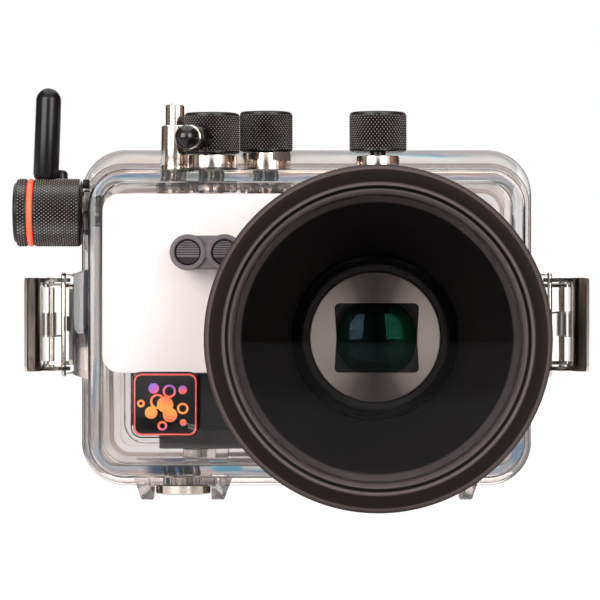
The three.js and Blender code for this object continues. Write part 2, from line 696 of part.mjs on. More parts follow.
// The zoom shaft ends in a fork that straddles the tab of the camera's zoom ring
function zoomShaft() {
  const stem = shaft(KNOB_SHAFT_R, 38, ZOOM_KNOB_Z[1] - 4.3, 20);
  const plate = box(-6, 6, -1.6, 1.6, 37, 40);
  const prongs = [-6, 3.6].map((x) => box(x, x + 2.4, -1.6, 1.6, 34.4, 38));
  return join(stem, plate, ...prongs).rotate([0, 0, 90]).translate([...ZOOM_AT, 0]);
}

const modeKnob = () => knob(MODE_AT, MODE_KNOB_R, ...MODE_KNOB_Z, KNOB_SHAFT_R + GAP);

// The mode shaft ends in a cup that grips the camera's mode dial
function modeShaft() {
  const stem = shaft(KNOB_SHAFT_R, 42, MODE_KNOB_Z[1] - 4.3, 20);
  const profile = [[0, 42.4], [9.8, 42.4], [9.8, 33.6], [8.4, 33.6], [8.4, 39.5], [0, 39.5]];
  return join(stem, turned(profile, 24)).translate([...MODE_AT, 0]);
}

const ringKnob = () => knob(RING_AT, RING_KNOB_R, ...RING_KNOB_Z, KNOB_SHAFT_R + GAP);

// The third shaft ends in a soft roller on the camera's lens ring
function ringShaft() {
  const stem = shaft(KNOB_SHAFT_R, 30, RING_KNOB_Z[1] - 4.3, 20);
  return join(stem, shaft(2.9, 26.8, 31, 20)).translate([...RING_AT, 0]);
}

// The shutter control: a drum on the left with a finger lever, on a shaft along X

const DRUM_X = [-117.6, -95.6];
const DRUM_R = 11.2;
const DRUM_GROOVE_R = 9.2;
const DRUM_BORE_END = -109.9;
const RED_X = [-113.3, -111];
const LEVER_X = -107.4;
const LEVER_LEAN = 2.2;           // degrees, its top towards the case
const LEVER_R = 4.2;
const LEVER_LENGTH = 29.3;
const LEVER_STUD_R = 2.3;
const SHUTTER_SHAFT_R = 2.1;

// Turn a shape that stands on the drum's surface to the lean of the finger lever
const leaned = (shape) => shape.rotate([0, LEVER_LEAN, 0]).translate([LEVER_X, 0, DRUM_R + GAP]);

function shutterDrum() {
  const c = 1.3;
  const bore = SHUTTER_SHAFT_R + 0.8;
  const profile = [[0, DRUM_X[0]], [DRUM_R - c, DRUM_X[0]], [DRUM_R, DRUM_X[0] + c], [DRUM_R, RED_X[0]],
    [DRUM_GROOVE_R, RED_X[0]], [DRUM_GROOVE_R, RED_X[1]], [DRUM_R, RED_X[1]], [DRUM_R, DRUM_X[1] - 0.8],
    [DRUM_R - 0.8, DRUM_X[1]], [bore, DRUM_X[1]], [bore, DRUM_BORE_END], [0, DRUM_BORE_END]];
  const drum = alongX(turned(profile.reverse(), 28));
  const socket = leaned(shaft(LEVER_STUD_R + GAP, -6.2, 2, 20));
  return cut(drum, socket).translate([0, SHUTTER_Y, SHUTTER_Z]);
}

function shutterRing() {
  const clear = 0.15;
  return alongX(ring(DRUM_GROOVE_R + clear, DRUM_R - 0.05, RED_X[0] + clear, RED_X[1] - clear, 28))
    .translate([0, SHUTTER_Y, SHUTTER_Z]);
}

// The finger lever: a rod with a domed end and a thin stud that screws into the drum
function shutterLever() {
  const profile = [[0, -5.6], [LEVER_STUD_R, -5.6], [LEVER_STUD_R, 0], [LEVER_R, 0]];
  for (let i = 0; i <= 5; i += 1) {
    const a = i * 18 * deg;
    profile.push([LEVER_R * Math.cos(a), LEVER_LENGTH - LEVER_R + LEVER_R * Math.sin(a)]);
  }
  return leaned(turned(profile, 18)).translate([0, SHUTTER_Y, SHUTTER_Z]);
}

// The shutter shaft with the arm that presses the camera's release
function shutterShaft() {
  const [releaseX] = RELEASE_AT;
  const bar = alongX(shaft(SHUTTER_SHAFT_R, DRUM_BORE_END + 0.4, releaseX + 2.7, 20));
  const hub = alongX(shaft(3.6, releaseX - 2.9, releaseX + 2.7, 20));
  const arm = box(releaseX - 2.1, releaseX + 2.1, -1.4, 8.8, -1.4, 1.4);
  const tip = box(releaseX - 2.1, releaseX + 2.1, 5.8, 8.8, -4.2, 1);
  return join(bar, hub, arm, tip).translate([0, SHUTTER_Y, SHUTTER_Z]);
}

// The latch, drawn about LATCH_Z and at the left of the case

function latchBase() {
  const inner = CASE_X - CASE_WIDTH / 2 - LATCH_PAD_OUT - GAP;
  const half = LATCH_HALF - SHEET - 0.4;
  const earR = 1.75;
  const round = [250, 220, 190, 160, 130, 100].map((a) => [
    PIVOT[0] + earR * Math.cos(a * deg), PIVOT[1] + earR * Math.sin(a * deg)]);
  const outline = [[inner, -24], [-104.4, -21.9], ...round, [inner - 2.4, -14.6], [inner, -13]];
  const ears = [half - SHEET, -half].map((z) => plateZ(outline, z, z + SHEET));
  const plate = box(inner - SHEET, inner, -30, -11, -half, half);
  const hole = shaft(1.3, -20, 20, 12).translate([...PIVOT, 0]);
  return cut(join(plate, ...ears), hole);
}

// The pivot pin with its two flat heads
function latchPin() {
  const end = LATCH_HALF + 0.45;
  const head = LATCH_HALF + 0.15;
  const profile = [[0, -end], [1.7, -end], [1.7, -head], [1, -head], [1, head], [1.7, head],
    [1.7, end], [0, end]];
  return turned(profile, 12).translate([...PIVOT, 0]);
}

// The lever: two ears on the pin and a plate that curls out to a finger tab
const LEVER_FACE_X = -108.5;      // inner face of its plate
const FLAP_X = -113.094;           // end of the tab's middle line
function latchLever() {
  const middle = LEVER_FACE_X - SHEET / 2;
  const line = [[middle, -20.4], [middle, -24], [middle, -39], [middle - 0.4, -41.4],
    [middle - 1.6, -43.6], [FLAP_X, -45]];
  const plate = stripZ(line, SHEET, -LATCH_HALF, LATCH_HALF);
  const edge = LEVER_FACE_X - 0.8;
  const outline = [[edge, -20.4], [-108.6, -18.4], [-106.4, -17.2], [-104.2, -18.4], [-100.6, -23.6],
    [-99.9, -26.4], [-101.2, -28.6], [-104, -30.2], [edge, -35]];
  const ears = [LATCH_HALF - SHEET, -LATCH_HALF].map((z) => plateZ(outline, z, z + SHEET));
  const holes = [shaft(1.3, -20, 20, 12).translate([...PIVOT, 0]),
    shaft(1.1, -20, 20, 12).translate([...LINK, 0])];
  return cut(join(plate, ...ears), ...holes);
}

function latchSpring() {
  const z0 = -SPRING_LENGTH / 2;
  return coil(SPRING_R, SPRING_WIRE / 2, SPRING_TURNS, SPRING_LENGTH, z0).translate([...PIVOT, 0]);
}

// The wire bail: a closed loop through both ears of the lever and round behind the lid's ledge
function latchBail() {
  const r = BAIL_WIRE / 2;
  const start = 6;
  const arm = LATCH_HALF + 0.6 + r;
  const bar = [-99.7, LEDGE_BACK + 0.4 + r];
  const bend = [LINK[0], 3.2];
  const corners = [[...LINK, start], [...LINK, arm], [...bend, arm], [...bar, arm], [...bar, -arm],
    [...bend, -arm], [...LINK, -arm], [...LINK, -start]];
  const middle = shaft(r, -start - 1, start + 1, 6).translate([...LINK, 0]);
  return join(wire(corners, r, 1.5), middle);
}

function addLatch(root, side, turn) {
  const group = new THREE.Group();
  group.position.set(turn ? 2 * CASE_X : 0, 0, LATCH_Z);
  group.rotation.y = turn;
  root.add(group);
  piece(group, `latch_base_${side}`, latchBase(), STEEL);
  piece(group, `latch_pin_${side}`, latchPin(), STEEL);
  piece(group, `latch_lever_${side}`, latchLever(), STEEL);
  piece(group, `latch_spring_${side}`, latchSpring(), STEEL);
  piece(group, `latch_bail_${side}`, latchBail(), STEEL);
}

// Put together

const housing = new THREE.Group();

function addCase(root) {
  piece(root, 'front_shell', frontShell(), CLEAR);
  piece(root, 'port_body', portBody(), BLACK_COAT);
  piece(root, 'port_front_ring', portFrontRing(), BLACK_COAT);
  piece(root, 'port_glass', portGlass(), GLASS);
  piece(root, 'port_glass_seal', sealRing(GLASS_SEAL), RUBBER);
  piece(root, 'port_seal', sealRing(PORT_SEAL), RUBBER);
  piece(root, 'port_nut', portNut(), BLACK_PLASTIC);
  piece(root, 'fiber_block', fiberBlock(), GREY_PLASTIC);
  piece(root, 'fiber_plug_left', fiberPlug(FIBER_XS[0]), GREY_PLASTIC);
  piece(root, 'fiber_plug_right', fiberPlug(FIBER_XS[1]), GREY_PLASTIC);
  piece(root, 'flash_diffuser', flashDiffuser(), WHITE_PLASTIC);
  piece(root, 'badge_plate', badgePlate(), BLACK_PLASTIC);
  piece(root, 'power_gland', powerGland(), STEEL);
  piece(root, 'zoom_gland', gland(GLANDS[1], KNOB_SHAFT_R + GAP), STEEL);
  piece(root, 'mode_gland', gland(GLANDS[2], KNOB_SHAFT_R + GAP), STEEL);
  piece(root, 'ring_gland', gland(GLANDS[3], KNOB_SHAFT_R + GAP), STEEL);
  piece(root, 'shutter_gland', shutterGland(), STEEL);
  piece(root, 'tray_insert_left', trayInsert(INSERT_XS[0]), STEEL);
  piece(root, 'tray_insert_right', trayInsert(INSERT_XS[1]), STEEL);
}

function addCamera(root) {
  piece(root, 'camera_tray', cameraTray(), GREY_PLASTIC);
  piece(root, 'camera_screw', cameraScrew(), STEEL);
  piece(root, 'camera_body', cameraBody(), CAMERA_SKIN);
  piece(root, 'lens_barrel', lensBarrel(), CAMERA_SKIN);
  piece(root, 'lens_element', lensElement(), LENS_BLACK);
}

function addLid(root) {
  piece(root, 'rear_lid', rearLid(), CLEAR);
  piece(root, 'lid_seal', lidSeal(), RUBBER);
  const names = ['set', 'left', 'right', 'up', 'down'];
  rearPlaces().forEach((place, i) => {
    piece(root, `rear_button_${names[i]}`, rearButton(place), BLACK_PLASTIC);
  });
}

function addControls(root) {
  piece(root, 'power_button', powerButton(), STEEL);
  piece(root, 'power_spring', powerSpring(), STEEL);
  piece(root, 'zoom_knob', zoomKnob(), BLACK_KNURL);
  piece(root, 'zoom_lever', zoomLever(), BLACK_PLASTIC);
  piece(root, 'zoom_shaft', zoomShaft(), STEEL);
  piece(root, 'mode_knob', modeKnob(), BLACK_KNURL);
  piece(root, 'mode_shaft', modeShaft(), STEEL);
  piece(root, 'ring_knob', ringKnob(), BLACK_KNURL);
  piece(root, 'ring_shaft', ringShaft(), STEEL);
  piece(root, 'shutter_drum', shutterDrum(), BLACK_KNURL);
  piece(root, 'shutter_ring', shutterRing(), RED_RING);
  piece(root, 'shutter_lever', shutterLever(), BLACK_PLASTIC);
  piece(root, 'shutter_shaft', shutterShaft(), STEEL);
}

addCase(housing);
addCamera(housing);
addLid(housing);
addControls(housing);
addLatch(housing, 'left', 0);
addLatch(housing, 'right', 180 * deg);

const latchSpringGap = coilGap(SPRING_R, SPRING_WIRE / 2, SPRING_TURNS, SPRING_LENGTH);
const powerSpringGap = coilGap(POWER_SPRING.r, POWER_SPRING.wireR, POWER_SPRING.turns, POWER_SPRING.length);
console.log(`least gap of the latch springs ${latchSpringGap.toFixed(2)} mm`);
console.log(`least gap of the power spring ${powerSpringGap.toFixed(2)} mm`);

// The origin goes to the middle of the underside of the bounding box
const reach = new THREE.Box3().setFromObject(housing);
const middle = reach.getCenter(new THREE.Vector3());
housing.position.set(-middle.x, -middle.y, -reach.min.z);
console.log(`origin moved by ${housing.position.toArray().map((v) => v.toFixed(3)).join(', ')} mm`);

export default housing;
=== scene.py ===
"""Looks of an underwater housing for a compact camera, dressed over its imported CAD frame.

All sizes are millimetres in the drawing frame of the housing: the port's axis is X = 0, Z = 0,
the port looks along -Y and the joint between case and lid is Y = 0. The function place() turns
them into metres in the shared frame.
"""

import json
import logging
import math
from contextlib import contextmanager
from dataclasses import dataclass
from enum import Enum
from typing import Callable, Iterator, Optional, Sequence

import bmesh
import bpy
from mathutils import Matrix, Vector


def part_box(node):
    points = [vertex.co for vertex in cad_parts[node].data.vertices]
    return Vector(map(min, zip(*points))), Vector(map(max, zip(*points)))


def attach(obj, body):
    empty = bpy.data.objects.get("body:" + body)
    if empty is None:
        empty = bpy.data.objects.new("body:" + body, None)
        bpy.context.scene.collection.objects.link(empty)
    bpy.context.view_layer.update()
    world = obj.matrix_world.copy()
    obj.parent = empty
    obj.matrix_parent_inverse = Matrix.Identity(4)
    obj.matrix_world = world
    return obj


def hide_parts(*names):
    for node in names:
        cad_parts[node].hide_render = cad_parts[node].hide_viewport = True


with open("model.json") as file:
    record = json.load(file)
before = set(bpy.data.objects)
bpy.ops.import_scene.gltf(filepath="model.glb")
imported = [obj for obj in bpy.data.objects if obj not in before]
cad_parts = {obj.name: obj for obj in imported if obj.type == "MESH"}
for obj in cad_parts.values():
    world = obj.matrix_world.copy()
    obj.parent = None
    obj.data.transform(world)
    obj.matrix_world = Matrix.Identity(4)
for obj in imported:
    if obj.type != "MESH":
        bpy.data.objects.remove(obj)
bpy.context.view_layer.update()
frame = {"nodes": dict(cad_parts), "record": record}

LOG = logging.getLogger("housing")
MM = 0.001
MERGE = 1e-6
# Depth of a knurl in millimetres
KNURL_DEPTH = 0.45
# Short names for types used often below
Obj = bpy.types.Object
Point = tuple[float, float]
Tree = bpy.types.NodeTree
Socket = bpy.types.NodeSocket
Node = bpy.types.Node


def frame_origin() -> Vector:
    """Finds the drawing frame's origin in the shared frame.

    Returns:
        The point on the port's axis in the joint between case and lid, in metres.
    """
    ring_low, ring_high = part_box("port_front_ring")
    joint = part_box("front_shell")[1].y
    middle = (ring_low + ring_high) / 2
    return Vector((middle.x, joint, middle.z))


ORIGIN = frame_origin()


def place(x: float, y: float, z: float) -> Vector:
    """Turns a point of the drawing frame into metres in the shared frame."""
    return ORIGIN + Vector((x, y, z)) * MM


class Axis(Enum):
    """Direction of a turned piece's axis."""

    X = "x"
    Y = "y"
    Z = "z"

    @property
    def along(self) -> Vector:
        """Unit vector along the axis."""
        return {"x": Vector((1, 0, 0)), "y": Vector((0, 1, 0)), "z": Vector((0, 0, 1))}[self.value]

    @property
    def out(self) -> Vector:
        """Unit vector square to the axis, in which the profile is drawn."""
        return {"x": Vector((0, 0, 1)), "y": Vector((1, 0, 0)), "z": Vector((1, 0, 0))}[self.value]

    @property
    def turn(self) -> Matrix:
        """Rotation that takes +Z to the axis."""
        return Vector((0, 0, 1)).rotation_difference(self.along).to_matrix().to_4x4()


class Pick(Enum):
    """What is selected in edit mode."""

    VERT = "VERT"
    EDGE = "EDGE"
    FACE = "FACE"


class Cut(Enum):
    """How two solids are combined."""

    JOIN = "UNION"
    TAKE = "DIFFERENCE"
    KEEP = "INTERSECT"


# Modelling helpers


def only(obj: Obj) -> None:
    """Makes obj the one selected and active object."""
    bpy.ops.object.select_all(action="DESELECT")
    obj.select_set(True)
    bpy.context.view_layer.objects.active = obj


@contextmanager
def editing(obj: Obj) -> Iterator[None]:
    """Holds obj in edit mode with everything selected."""
    only(obj)
    bpy.ops.object.mode_set(mode="EDIT")
    bpy.ops.mesh.select_mode(type=Pick.VERT.value)
    bpy.ops.mesh.select_all(action="SELECT")
    yield
    bpy.ops.object.mode_set(mode="OBJECT")


def pick(obj: Obj, kind: Pick, test: Callable) -> int:
    """Selects the vertices, edges or faces of a mesh in edit mode that pass a test.

    Args:
        obj: The object in edit mode.
        kind: What is selected.
        test: Gets a bmesh element and returns true for those to select.

    Returns:
        The number of elements selected.
    """
    bpy.ops.mesh.select_mode(type=kind.value)
    bpy.ops.mesh.select_all(action="DESELECT")
    mesh = bmesh.from_edit_mesh(obj.data)
    elements = {Pick.VERT: mesh.verts, Pick.EDGE: mesh.edges, Pick.FACE: mesh.faces}[kind]
    chosen = [element for element in elements if test(element)]
    for element in chosen:
        element.select_set(True)
    mesh.select_flush_mode()
    bmesh.update_edit_mesh(obj.data)
    return len(chosen)


def apply(obj: Obj, kind: str, **settings) -> None:
    """Adds a modifier with its settings and applies it."""
    modifier = obj.modifiers.new(kind.lower(), kind)
    for key, value in settings.items():
        setattr(modifier, key, value)
    only(obj)
    bpy.ops.object.modifier_apply(modifier=modifier.name)


def soften(obj: Obj, width: float, segments: int = 2, angle: float = 30) -> None:
    """Rounds the edges of obj that are sharper than an angle, by a width in millimetres."""
    apply(obj, "BEVEL", width=width * MM, segments=segments, limit_method="ANGLE",
          angle_limit=math.radians(angle), use_clamp_overlap=True)


def smooth(obj: Obj, angle: float = 30) -> None:
    """Shades obj smooth, apart from its sharp edges."""
    only(obj)
    bpy.ops.object.shade_smooth_by_angle(angle=math.radians(angle))


def combine(obj: Obj, other: Obj, how: Cut) -> Obj:
    """Joins obj with other, or cuts it by other, which is used up."""
    apply(obj, "BOOLEAN", operation=how.value, object=other, solver="EXACT")
    bpy.data.objects.remove(other)
    return obj


def join(obj: Obj, *others: Obj) -> Obj:
    """Joins obj with the others, one by one."""
    for other in others:
        combine(obj, other, Cut.JOIN)
    return obj


def cut(obj: Obj, *others: Obj) -> Obj:
    """Cuts obj by the others, one by one."""
    for other in others:
        combine(obj, other, Cut.TAKE)
    return obj


def gather(objs: Sequence[Obj], name: str) -> Obj:
    """Makes one object of several that don't touch, or only rest on each other."""
    bpy.ops.object.select_all(action="DESELECT")
    for obj in objs:
        obj.select_set(True)
    bpy.context.view_layer.objects.active = objs[0]
    bpy.ops.object.join()
    objs[0].name = name
    return objs[0]


def twin(obj: Obj, matrix: Matrix) -> Obj:
    """Copies obj with its own mesh, moved by a matrix."""
    copy = obj.copy()
    copy.data = obj.data.copy()
    bpy.context.scene.collection.objects.link(copy)
    copy.data.transform(matrix)
    return copy


def chain(name: str, points: Sequence[Vector]) -> Obj:
    """Draws a chain of edges, from a plane that is merged to one vertex and extruded.

    Args:
        name: Name of the new object.
        points: The chain's points in metres.

    Returns:
        The object, at the origin.
    """
    bpy.ops.object.select_all(action="DESELECT")
    bpy.ops.mesh.primitive_plane_add(size=MM)
    obj = bpy.context.object
    obj.name = name
    with editing(obj):
        bpy.ops.mesh.merge(type="CENTER")
        bpy.ops.transform.translate(value=points[0])
        for before, after in zip(points, points[1:]):
            bpy.ops.mesh.extrude_region_move(TRANSFORM_OT_translate={"value": after - before})
    return obj


def lathe(name: str, profile: Sequence[Point], axis: Axis, centre: Vector, sides: int = 96,
          soft: float = 0.0) -> Obj:
    """Turns a profile about an axis.

    Args:
        name: Name of the new object.
        profile: Points (radius, height along the axis) in millimetres. They start and end on the
            axis, or at the same point.
        axis: Direction of the axis.
        centre: Point of the axis where the height is 0, in metres.
        sides: Steps of the spin.
        soft: Rounding of the sharp edges in millimetres.

    Returns:
        The turned object.
    """
    obj = chain(name, [centre + axis.out * r * MM + axis.along * h * MM for r, h in profile])
    with editing(obj):
        bpy.ops.mesh.spin(steps=sides, angle=math.tau, center=centre, axis=axis.along)
        bpy.ops.mesh.select_all(action="SELECT")
        bpy.ops.mesh.remove_doubles(threshold=MERGE)
        bpy.ops.mesh.normals_make_consistent(inside=False)
    if soft:
        soften(obj, soft)
    smooth(obj)
    return obj


def arc(r: float, h: float, radius: float, start: float, end: float, steps: int = 6) -> list[Point]:
    """Points of an arc in a profile, from one angle to another in degrees."""
    angles = [math.radians(start + (end - start) * i / steps) for i in range(steps + 1)]
    return [(r + radius * math.cos(a), h + radius * math.sin(a)) for a in angles]


def block(name: str, low: Vector, high: Vector) -> Obj:
    """Adds a cube between two corners in metres, with its place in its mesh."""
    bpy.ops.object.select_all(action="DESELECT")
    bpy.ops.mesh.primitive_cube_add(size=1, location=(low + high) / 2, scale=high - low)
    obj = bpy.context.object
    obj.name = name
    bpy.ops.object.transform_apply(location=True, rotation=True, scale=True)
    return obj


def slab(name: str, xs: Point, ys: Point, zs: Point, corner: float, rim: float = 0.0,
         axis: Axis = Axis.Y, steps: int = 12) -> Obj:
    """Makes a box with four round corners about an axis and a rounding of all its rims.

    Args:
        name: Name of the new object.
        xs: Lowest and highest X in millimetres.
        ys: Lowest and highest Y.
        zs: Lowest and highest Z.
        corner: Radius of the four corners.
        rim: Radius of the rims.
        axis: Direction of the edges that the corners round.
        steps: Segments of a corner.

    Returns:
        The slab.
    """
    obj = block(name, place(xs[0], ys[0], zs[0]), place(xs[1], ys[1], zs[1]))
    with editing(obj):
        pick(obj, Pick.EDGE,
             lambda e: abs((e.verts[0].co - e.verts[1].co).normalized().dot(axis.along)) > 0.9)
        bpy.ops.mesh.bevel(offset=corner * MM, segments=steps, affect="EDGES", profile=0.5)
    if rim:
        soften(obj, rim, 4, 60)
    smooth(obj)
    return obj


def outline(name: str, points: Sequence[Vector], sweep: Vector, soft: float = 0.0) -> Obj:
    """Extrudes a flat closed outline.

    Args:
        name: Name of the new object.
        points: The outline's corners in metres.
        sweep: How far and where to the face is extruded, in metres.
        soft: Rounding of the edges in millimetres.

    Returns:
        The extruded object.
    """
    obj = chain(name, points)
    with editing(obj):
        bpy.ops.mesh.edge_face_add()
        bpy.ops.mesh.extrude_region_move(TRANSFORM_OT_translate={"value": sweep})
        bpy.ops.mesh.select_all(action="SELECT")
        bpy.ops.mesh.normals_make_consistent(inside=False)
    if soft:
        soften(obj, soft)
    smooth(obj)
    return obj


def rounded_route(corners: Sequence[Vector], radius: float, steps: int = 6) -> list[Vector]:
    """Rounds the inner corners of a route by a radius in millimetres."""
    route = [corners[0]]
    for before, corner, after in zip(corners, corners[1:], corners[2:]):
        start = corner + (before - corner).normalized() * radius * MM
        end = corner + (after - corner).normalized() * radius * MM
        for i in range(steps + 1):
            t = i / steps
            route.append(start * (1 - t) ** 2 + corner * 2 * t * (1 - t) + end * t ** 2)
    return route + [corners[-1]]


def wire(name: str, route: Sequence[Vector], radius: float, loop: bool = False) -> Obj:
    """Makes a round wire along a route.

    Args:
        name: Name of the new object.
        route: Points in metres.
        radius: Radius of the wire in millimetres.
        loop: Whether the wire's end meets its start. Otherwise both ends are capped.

    Returns:
        The wire as a mesh.
    """
    bpy.ops.object.select_all(action="DESELECT")
    bpy.ops.curve.primitive_bezier_curve_add()
    obj = bpy.context.object
    obj.name = name
    curve = obj.data
    curve.splines.clear()
    spline = curve.splines.new("POLY")
    spline.points.add(len(route) - 1)
    for point, at in zip(spline.points, route):
        point.co = (*at, 1)
    curve.dimensions = "3D"
    curve.bevel_depth = radius * MM
    curve.bevel_resolution = 3
    curve.use_fill_caps = not loop
    spline.use_cyclic_u = loop
    bpy.ops.object.convert(target="MESH")
    with editing(obj):
        bpy.ops.mesh.remove_doubles(threshold=MERGE / 2)
        bpy.ops.mesh.normals_make_consistent(inside=False)
    smooth(obj, 40)
    return obj


def helix(centre: Vector, radius: float, low: float, high: float, turns: float, start: float = 0.0,
          steps: int = 24) -> list[Vector]:
    """Points of a coil about Z, from one height to another in millimetres."""
    count = round(turns * steps)
    points = []
    for i in range(count + 1):
        angle = math.radians(start) + math.tau * turns * i / count
        height = low + (high - low) * i / count
        points.append(centre + Vector((radius * math.cos(angle), radius * math.sin(angle), height)) * MM)
    return points


def knurl(name: str, radius: float, ends: Point, axis: Axis, centre: Vector) -> Obj:
    """Makes a closed band with a diamond knurl, as a knurling wheel rolls it.

    The wall of an open cylinder is divided into squares, these are poked and their old edges
    dissolved, which leaves diamonds, and each diamond is poked outwards to a pyramid.

    Args:
        name: Name of the new object.
        radius: Outer radius over the points in millimetres.
        ends: Lowest and highest place along the axis in millimetres.
        axis: Direction of the axis.
        centre: Point of the axis where the height is 0, in metres.

    Returns:
        The band.
    """
    wall = 1.1
    pitch_round, pitch_along = 1.2, 1.45
    root = (radius - KNURL_DEPTH) * MM
    length = (ends[1] - ends[0]) * MM
    columns = round(math.tau * radius / pitch_round)
    rows = max(2, round((ends[1] - ends[0]) / pitch_along))
    bpy.ops.object.select_all(action="DESELECT")
    bpy.ops.mesh.primitive_cylinder_add(vertices=columns, radius=root, depth=length, end_fill_type="NOTHING")
    obj = bpy.context.object
    obj.name = name

    def rise(edge: bmesh.types.BMEdge) -> float:
        return abs(edge.verts[0].co.z - edge.verts[1].co.z)

    def turn(edge: bmesh.types.BMEdge) -> float:
        return (edge.verts[0].co.xy - edge.verts[1].co.xy).length

    with editing(obj):
        pick(obj, Pick.EDGE, lambda e: rise(e) > length / 2)
        bpy.ops.mesh.subdivide(number_cuts=rows - 1)
        bpy.ops.mesh.select_mode(type=Pick.FACE.value)
        bpy.ops.mesh.select_all(action="SELECT")
        bpy.ops.mesh.poke()
        pick(obj, Pick.EDGE, lambda e: not e.is_boundary and (rise(e) < MERGE or turn(e) < MERGE))
        bpy.ops.mesh.dissolve_edges(use_verts=False)
        pick(obj, Pick.FACE, lambda f: len(f.verts) == 4)
        bpy.ops.mesh.poke(offset=KNURL_DEPTH * MM)
        pick(obj, Pick.EDGE, lambda e: e.is_boundary)
        inner = 1 - wall * MM / root
        bpy.ops.mesh.extrude_edges_move()
        bpy.ops.transform.resize(value=(inner, inner, 1), center_override=(0, 0, 0))
        pick(obj, Pick.EDGE, lambda e: e.is_boundary)
        bpy.ops.mesh.bridge_edge_loops()
        bpy.ops.mesh.select_all(action="SELECT")
        bpy.ops.mesh.normals_make_consistent(inside=False)
    middle = centre + axis.along * (ends[0] + ends[1]) / 2 * MM
    obj.data.transform(Matrix.Translation(middle) @ axis.turn)
    return obj


# Materials


def linear(code: str) -> tuple[float, float, float, float]:
    """Turns an sRGB hex value such as "#c9c3bd" into a linear colour."""
    shares = [int(code[i:i + 2], 16) / 255 for i in (1, 3, 5)]
    red, green, blue = [s / 12.92 if s <= 0.04045 else ((s + 0.055) / 1.055) ** 2.4 for s in shares]
    return (red, green, blue, 1.0)


def node(tree: Tree, kind: str, inputs: Optional[dict] = None, **settings) -> Node:
    """Adds a shader node with its settings and links.

    Args:
        tree: The node tree.
        kind: The node's type, without the prefix that all shader nodes share.
        inputs: Values, sRGB hex colours or output sockets for its inputs, by name or number.
        settings: The node's own settings.

    Returns:
        The new node.
    """
    made = tree.nodes.new("ShaderNode" + kind)
    for key, value in settings.items():
        setattr(made, key, value)
    for key, value in (inputs or {}).items():
        if isinstance(value, Socket):
            tree.links.new(value, made.inputs[key])
        else:
            made.inputs[key].default_value = linear(value) if isinstance(value, str) else value
    return made


def maths(tree: Tree, operation: str, *values) -> Socket:
    """Works out a number from values and sockets."""
    return node(tree, "Math", dict(enumerate(values)), operation=operation).outputs["Value"]


def vectors(tree: Tree, operation: str, *values) -> Socket:
    """Works out a vector, or its length, from values and sockets."""
    made = node(tree, "VectorMath", dict(enumerate(values)), operation=operation)
    return made.outputs["Value" if operation == "LENGTH" else "Vector"]


def spread(tree: Tree, value: Socket, start: float, end: float, low: float = 0.0, high: float = 1.0,
           curve: str = "LINEAR") -> Socket:
    """Maps a value between start and end to the range from low to high."""
    limits = {"From Min": start, "From Max": end, "To Min": low, "To Max": high}
    return node(tree, "MapRange", {"Value": value, **limits}, interpolation_type=curve).outputs["Result"]


def ramp(tree: Tree, share: Socket, *stops: tuple) -> Socket:
    """Colours a share by (place, colour) pairs, whose colours are sRGB hex or linear."""
    made = node(tree, "ValToRGB", {"Fac": share})
    elements = made.color_ramp.elements
    for i, (at, colour) in enumerate(stops):
        stop = elements[i] if i < 2 else elements.new(at)
        stop.position = at
        stop.color = linear(colour) if isinstance(colour, str) else colour
    return made.outputs["Color"]


def noise(tree: Tree, coords: Socket, scale: float, detail: float, roughness: float = 0.5) -> Socket:
    """Gives a cloudy pattern."""
    return node(tree, "TexNoise", {"Vector": coords, "Scale": scale, "Detail": detail,
                                   "Roughness": roughness}).outputs["Fac"]


def blend(tree: Tree, share: Socket, first, second) -> Socket:
    """Mixes two colours."""
    return node(tree, "Mix", {"Factor": share, "A": first, "B": second}, data_type="RGBA").outputs["Result"]


def layer(tree: Tree, share: Socket, under: Socket, over: Socket) -> Socket:
    """Mixes two surfaces."""
    return node(tree, "MixShader", {0: share, 1: under, 2: over}).outputs["Shader"]


def centred(tree: Tree, coords: Socket, middle: Vector) -> Socket:
    """Moves the coordinates so that a place becomes their origin."""
    return node(tree, "Mapping", {"Vector": coords, "Location": -middle}).outputs["Vector"]


